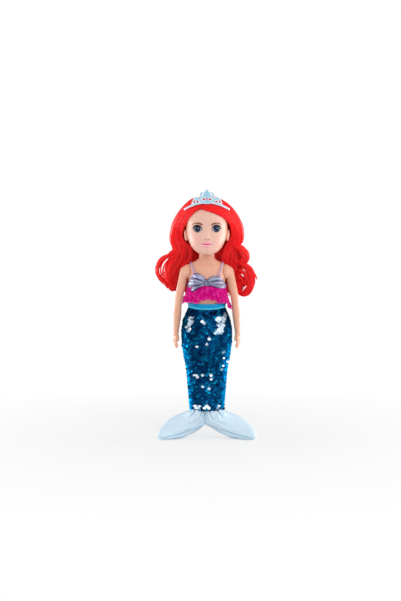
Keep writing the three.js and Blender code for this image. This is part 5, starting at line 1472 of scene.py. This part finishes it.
turn, z = sequin_places()
place_x = sleeve_point(turn, z, SEQUIN_STAND)[:, 0]
behind = np.cos(turn) <= 0
flipped = np.zeros(len(turn), bool)
for x, up, half_x, half_up in SILVER_SPOTS:
    off = np.hypot((place_x - x) / half_x, (z - up) / half_up) + NEVER * behind
    flipped |= off < 1
    flipped[np.argmin(off)] = True
for _ in range(BACK_SPOTS):
    x, up = draw.uniform(-22, 22), draw.uniform(45, 152)
    half_x, half_up = draw.uniform(1.8, 5.0), draw.uniform(1.6, 5.0)
    flipped |= (np.hypot((place_x - x) / half_x, (z - up) / half_up) < 1) & behind
tilt = np.stack([0.17 + draw.normal(0, 0.05, len(turn)), draw.normal(0, 0.06, len(turn))], -1)
own_tone = np.clip(draw.beta(1.4, 2.2, len(turn)), 0, 1)
lifted = draw.uniform(0, 1, len(turn)) < LIFTED_SHARE
tilt[:, 0] += lifted * draw.uniform(0.12, 0.4, len(turn))
tilt[:, 1] += lifted * draw.normal(0, 0.25, len(turn))
for name, chosen, look in (("sequins_blue", ~flipped, blue_look), ("sequins_silver", flipped, silver_look)):
    body = sequins(turn[chosen], z[chosen], tilt[chosen])
    made = piece(name, body, look, "sequin_cloth", None, (), crease=75,
                 tone=np.repeat(own_tone[chosen], SEQUIN_POINTS))
    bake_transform(made)


# Fins: stuffed satin gathered at the hem
fin_upper = through([  # share from the hem to the tip, place beside the middle, height
    [0, 19.6, 38.8], [0.1, 21.6, 35.4], [0.3, 30.0, 32.2], [0.5, 41.2, 27.8], [0.68, 50.6, 21.6],
    [0.84, 57.5, 15.0], [0.94, 60.9, 10.8], [1, 62.0, 8.2]])
fin_lower = through([
    [0, 0.0, 39.5], [0.14, 0.0, 27.5], [0.22, 0.4, 19.6], [0.3, 5.4, 14.6], [0.4, 12.4, 9.6],
    [0.5, 21.6, 4.4], [0.6, 30.8, 1.0], [0.7, 39.5, -0.4], [0.8, 47.5, -0.6], [0.9, 55.5, -0.4],
    [0.97, 60.2, 2.4], [1, 62.0, 6.4]])
fin_depth = through([  # share from the hem to the tip, half depth, place of the middle
    [0, 15.4, -3.4], [0.1, 15.8, -2.4], [0.25, 16.2, 0.6], [0.45, 16.2, 2.6], [0.65, 15.3, -0.6],
    [0.82, 13.0, -7.0], [0.93, 9.4, -11.2], [0.98, 5.4, -12.8], [1, 2.6, -13.0]])
SEAM_RISE = 5.0
FIN_LAP = 3.0  # of the left fin past the middle
FIN_SHORT = 1.6  # of the right fin, from the middle
FOOT_ROUND = 0.9


def fin(side):
    """A stuffed fin: rings between a lower and an upper edge line, swept forward to the tip, gathered into
    folds at the hem, dented softly, with a seam groove above its lower edge and a flat where it stands. The
    left fin laps over the right one in the middle."""
    t = np.linspace(0, 1, 150)[:, None]
    turn = np.linspace(0, 2 * np.pi, 180, endpoint=False)[None, :]
    (ux, uz), (lx, lz), (deep, middle) = fin_upper(t), fin_lower(t), fin_depth(t)
    inner = -FIN_LAP if side > 0 else FIN_SHORT
    lx = lx + inner * ease(0.36, 0.22, t)
    s, c = squared(turn, 2.35 + 1.8 * ease(0.3, 0.1, t))
    half = np.hypot(ux - lx, uz - lz) / 2
    pleat = np.abs(np.sin(7.5 * turn + 0.9 * np.sin(3 * turn) + 3.0 * t)) ** 0.7
    gather = np.exp(-t / 0.22) * (4.0 * pleat - 3.2 + 0.5 * np.sin(23 * turn - 9 * t + 1.0))
    dent = 0.5 * np.sin(5 * turn + 11 * t) * np.sin(9 * t + 2 * turn) * ease(0.1, 0.4, t) * ease(1.0, 0.8, t)
    above = (1 + c) * half
    line = 2.0 + SEAM_RISE * ease(0.22, 0.5, t) * ease(1.0, 0.65, t)
    seam = -1.7 * hump(above, line, 0.9) * ease(0.24, 0.32, t) * ease(0.98, 0.8, t) * np.abs(s) ** 0.3
    grow = 1 + (gather + dent + seam) / np.maximum(deep, 4.0)
    x = (ux + lx) / 2 + grow * c * (ux - lx) / 2
    z = (uz + lz) / 2 + grow * c * (uz - lz) / 2
    y = BODY_Y + middle - grow * s * deep
    eased = FOOT_ROUND * np.exp((z - FOOT_ROUND) / FOOT_ROUND) * (z > -FOOT_ROUND)
    z = np.where(z < FOOT_ROUND, eased, z)
    x = np.maximum(x, inner)
    y = y - 1.2 * hump(x, inner, 5.0) * (side > 0)
    points = np.stack([side * x, y, z], -1)
    # Painted shade: the accent darkens the seam groove, along with its stitching, and the hollows between the
    # pleats at the hem.
    stitch_and_groove_shade = 0.55 * hump(above, line, 0.7) * ease(0.24, 0.32, t) * ease(0.98, 0.8, t)
    hollow = np.exp(-t / 0.16) * ease(0.55, 0.1, pleat) * ease(-1.0, -0.75, c)
    edge = np.concatenate([np.clip(stitch_and_groove_shade + hollow, 0, 1).ravel(), [0, 0]])
    return loft(points), edge


for name, side in (("left_fin", 1), ("right_fin", -1)):
    body, edge = fin(side)
    made = piece(name + "_satin", body, satin_look, "ice_satin", "tail", (name,), edge=edge)

# Inner pieces keep their solids
for name, look in (("left_leg", skin_look), ("right_leg", skin_look), ("neck_plug", plug_look)):
    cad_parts[name].data.materials.clear()
    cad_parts[name].data.materials.append(look)


# Floor, light and background
BACKDROP = 1.0  # strength of the background where it is seen, also in gloss and through clear things
ROOM_LIGHT = 0.5  # and where it only lights
FLOOR_RINGS = np.array([0.02, 0.3, 1.0, 3.0, 9.0])  # radii in metres
FLOOR_SIDES = 64
FLOOR_DROP = 0.02  # under the fins, in millimetres
LAMP_AIM = Vector((0, 0, 0.17))


def floor_look():
    """A pale floor that takes the doll's shadow and runs out into the pale background."""
    material, tree, shader = finish("pale_floor", Roughness=0.75, Base_Color=rgb(0.92, 0.92, 0.925))
    away = node(tree, "VectorMath", {0: object_place(tree)}, operation="LENGTH").outputs["Value"]
    far = node(tree, "MapRange", {0: away, 1: 0.1, 2: 0.5, 3: 0.62, 4: 1.0}).outputs[0]
    seen = node(tree, "LightPath").outputs["Is Camera Ray"]
    share = node(tree, "Math", {0: far, 1: seen}, operation="MULTIPLY").outputs[0]
    glow = node(tree, "Emission", {0: rgb(BACKDROP, BACKDROP, BACKDROP)}).outputs[0]
    both = node(tree, "MixShader", {0: share, 1: shader.outputs[0], 2: glow}).outputs[0]
    out = next(n for n in tree.nodes if n.type == "OUTPUT_MATERIAL")
    tree.links.new(both, out.inputs[0])
    return material


def floor_disc():
    """A round floor: rings of points from the middle outward."""
    turn = np.linspace(0, 2 * np.pi, FLOOR_SIDES, endpoint=False)[None, :]
    size = FLOOR_RINGS[:, None] / MM
    rings = np.stack([size * np.cos(turn), size * np.sin(turn), 0 * size * turn - FLOOR_DROP], -1)
    points, faces = loft(rings)
    return points[:-1], [faces[0], faces[1][:FLOOR_SIDES]]


floor_points, floor_faces = floor_disc()
floor_mesh = bpy.data.meshes.new("floor")
floor_mesh.from_pydata((floor_points * MM).tolist(), [], [f[::-1] for g in floor_faces for f in g.tolist()])
floor_mesh.materials.append(floor_look())
floor = bpy.data.objects.new("floor", floor_mesh)
scene.collection.objects.link(floor)


def soft_box(name, place, wide, tall, power, sheen_only=False):
    """A soft box that faces the doll's middle. With sheen_only it shows in glossy surfaces and lights nothing
    else."""
    data = bpy.data.lights.new(name, "AREA")
    data.shape = "RECTANGLE"
    data.size = wide
    data.size_y = tall
    data.energy = power
    lamp = bpy.data.objects.new(name, data)
    lamp.location = place
    lamp.visible_diffuse = not sheen_only
    lamp.rotation_mode = "QUATERNION"
    lamp.rotation_quaternion = (LAMP_AIM - Vector(place)).to_track_quat("-Z", "Y")
    scene.collection.objects.link(lamp)


# A large key above the camera, weak boxes at the sides, and two behind that only show in gloss
soft_box("key", (0.35, -1.4, 1.2), 1.4, 1.4, 11.9)
soft_box("left_box", (-1.0, 0.0, 0.2), 0.7, 0.36, 3.4)
soft_box("right_box", (1.0, 0.0, 0.2), 0.7, 0.36, 4.4)
soft_box("left_rim", (-0.85, 0.45, 0.12), 0.8, 0.36, 9.5, sheen_only=True)
soft_box("right_rim", (0.85, 0.45, 0.12), 0.8, 0.36, 9.5, sheen_only=True)

world = bpy.data.worlds.new("studio")
world.use_nodes = True
scene.world = world
sky = world.node_tree
ground = next(n for n in sky.nodes if n.type == "BACKGROUND")
path = node(sky, "LightPath")
seen = path.outputs["Is Camera Ray"]
for kind in ("Is Glossy Ray", "Is Transmission Ray"):
    seen = node(sky, "Math", {0: seen, 1: path.outputs[kind]}, operation="MAXIMUM").outputs[0]
strength = node(sky, "MapRange", {0: seen, 3: ROOM_LIGHT, 4: BACKDROP})
sky.links.new(strength.outputs[0], ground.inputs["Strength"])
ground.inputs["Color"].default_value = rgb(1.0, 1.0, 1.0)
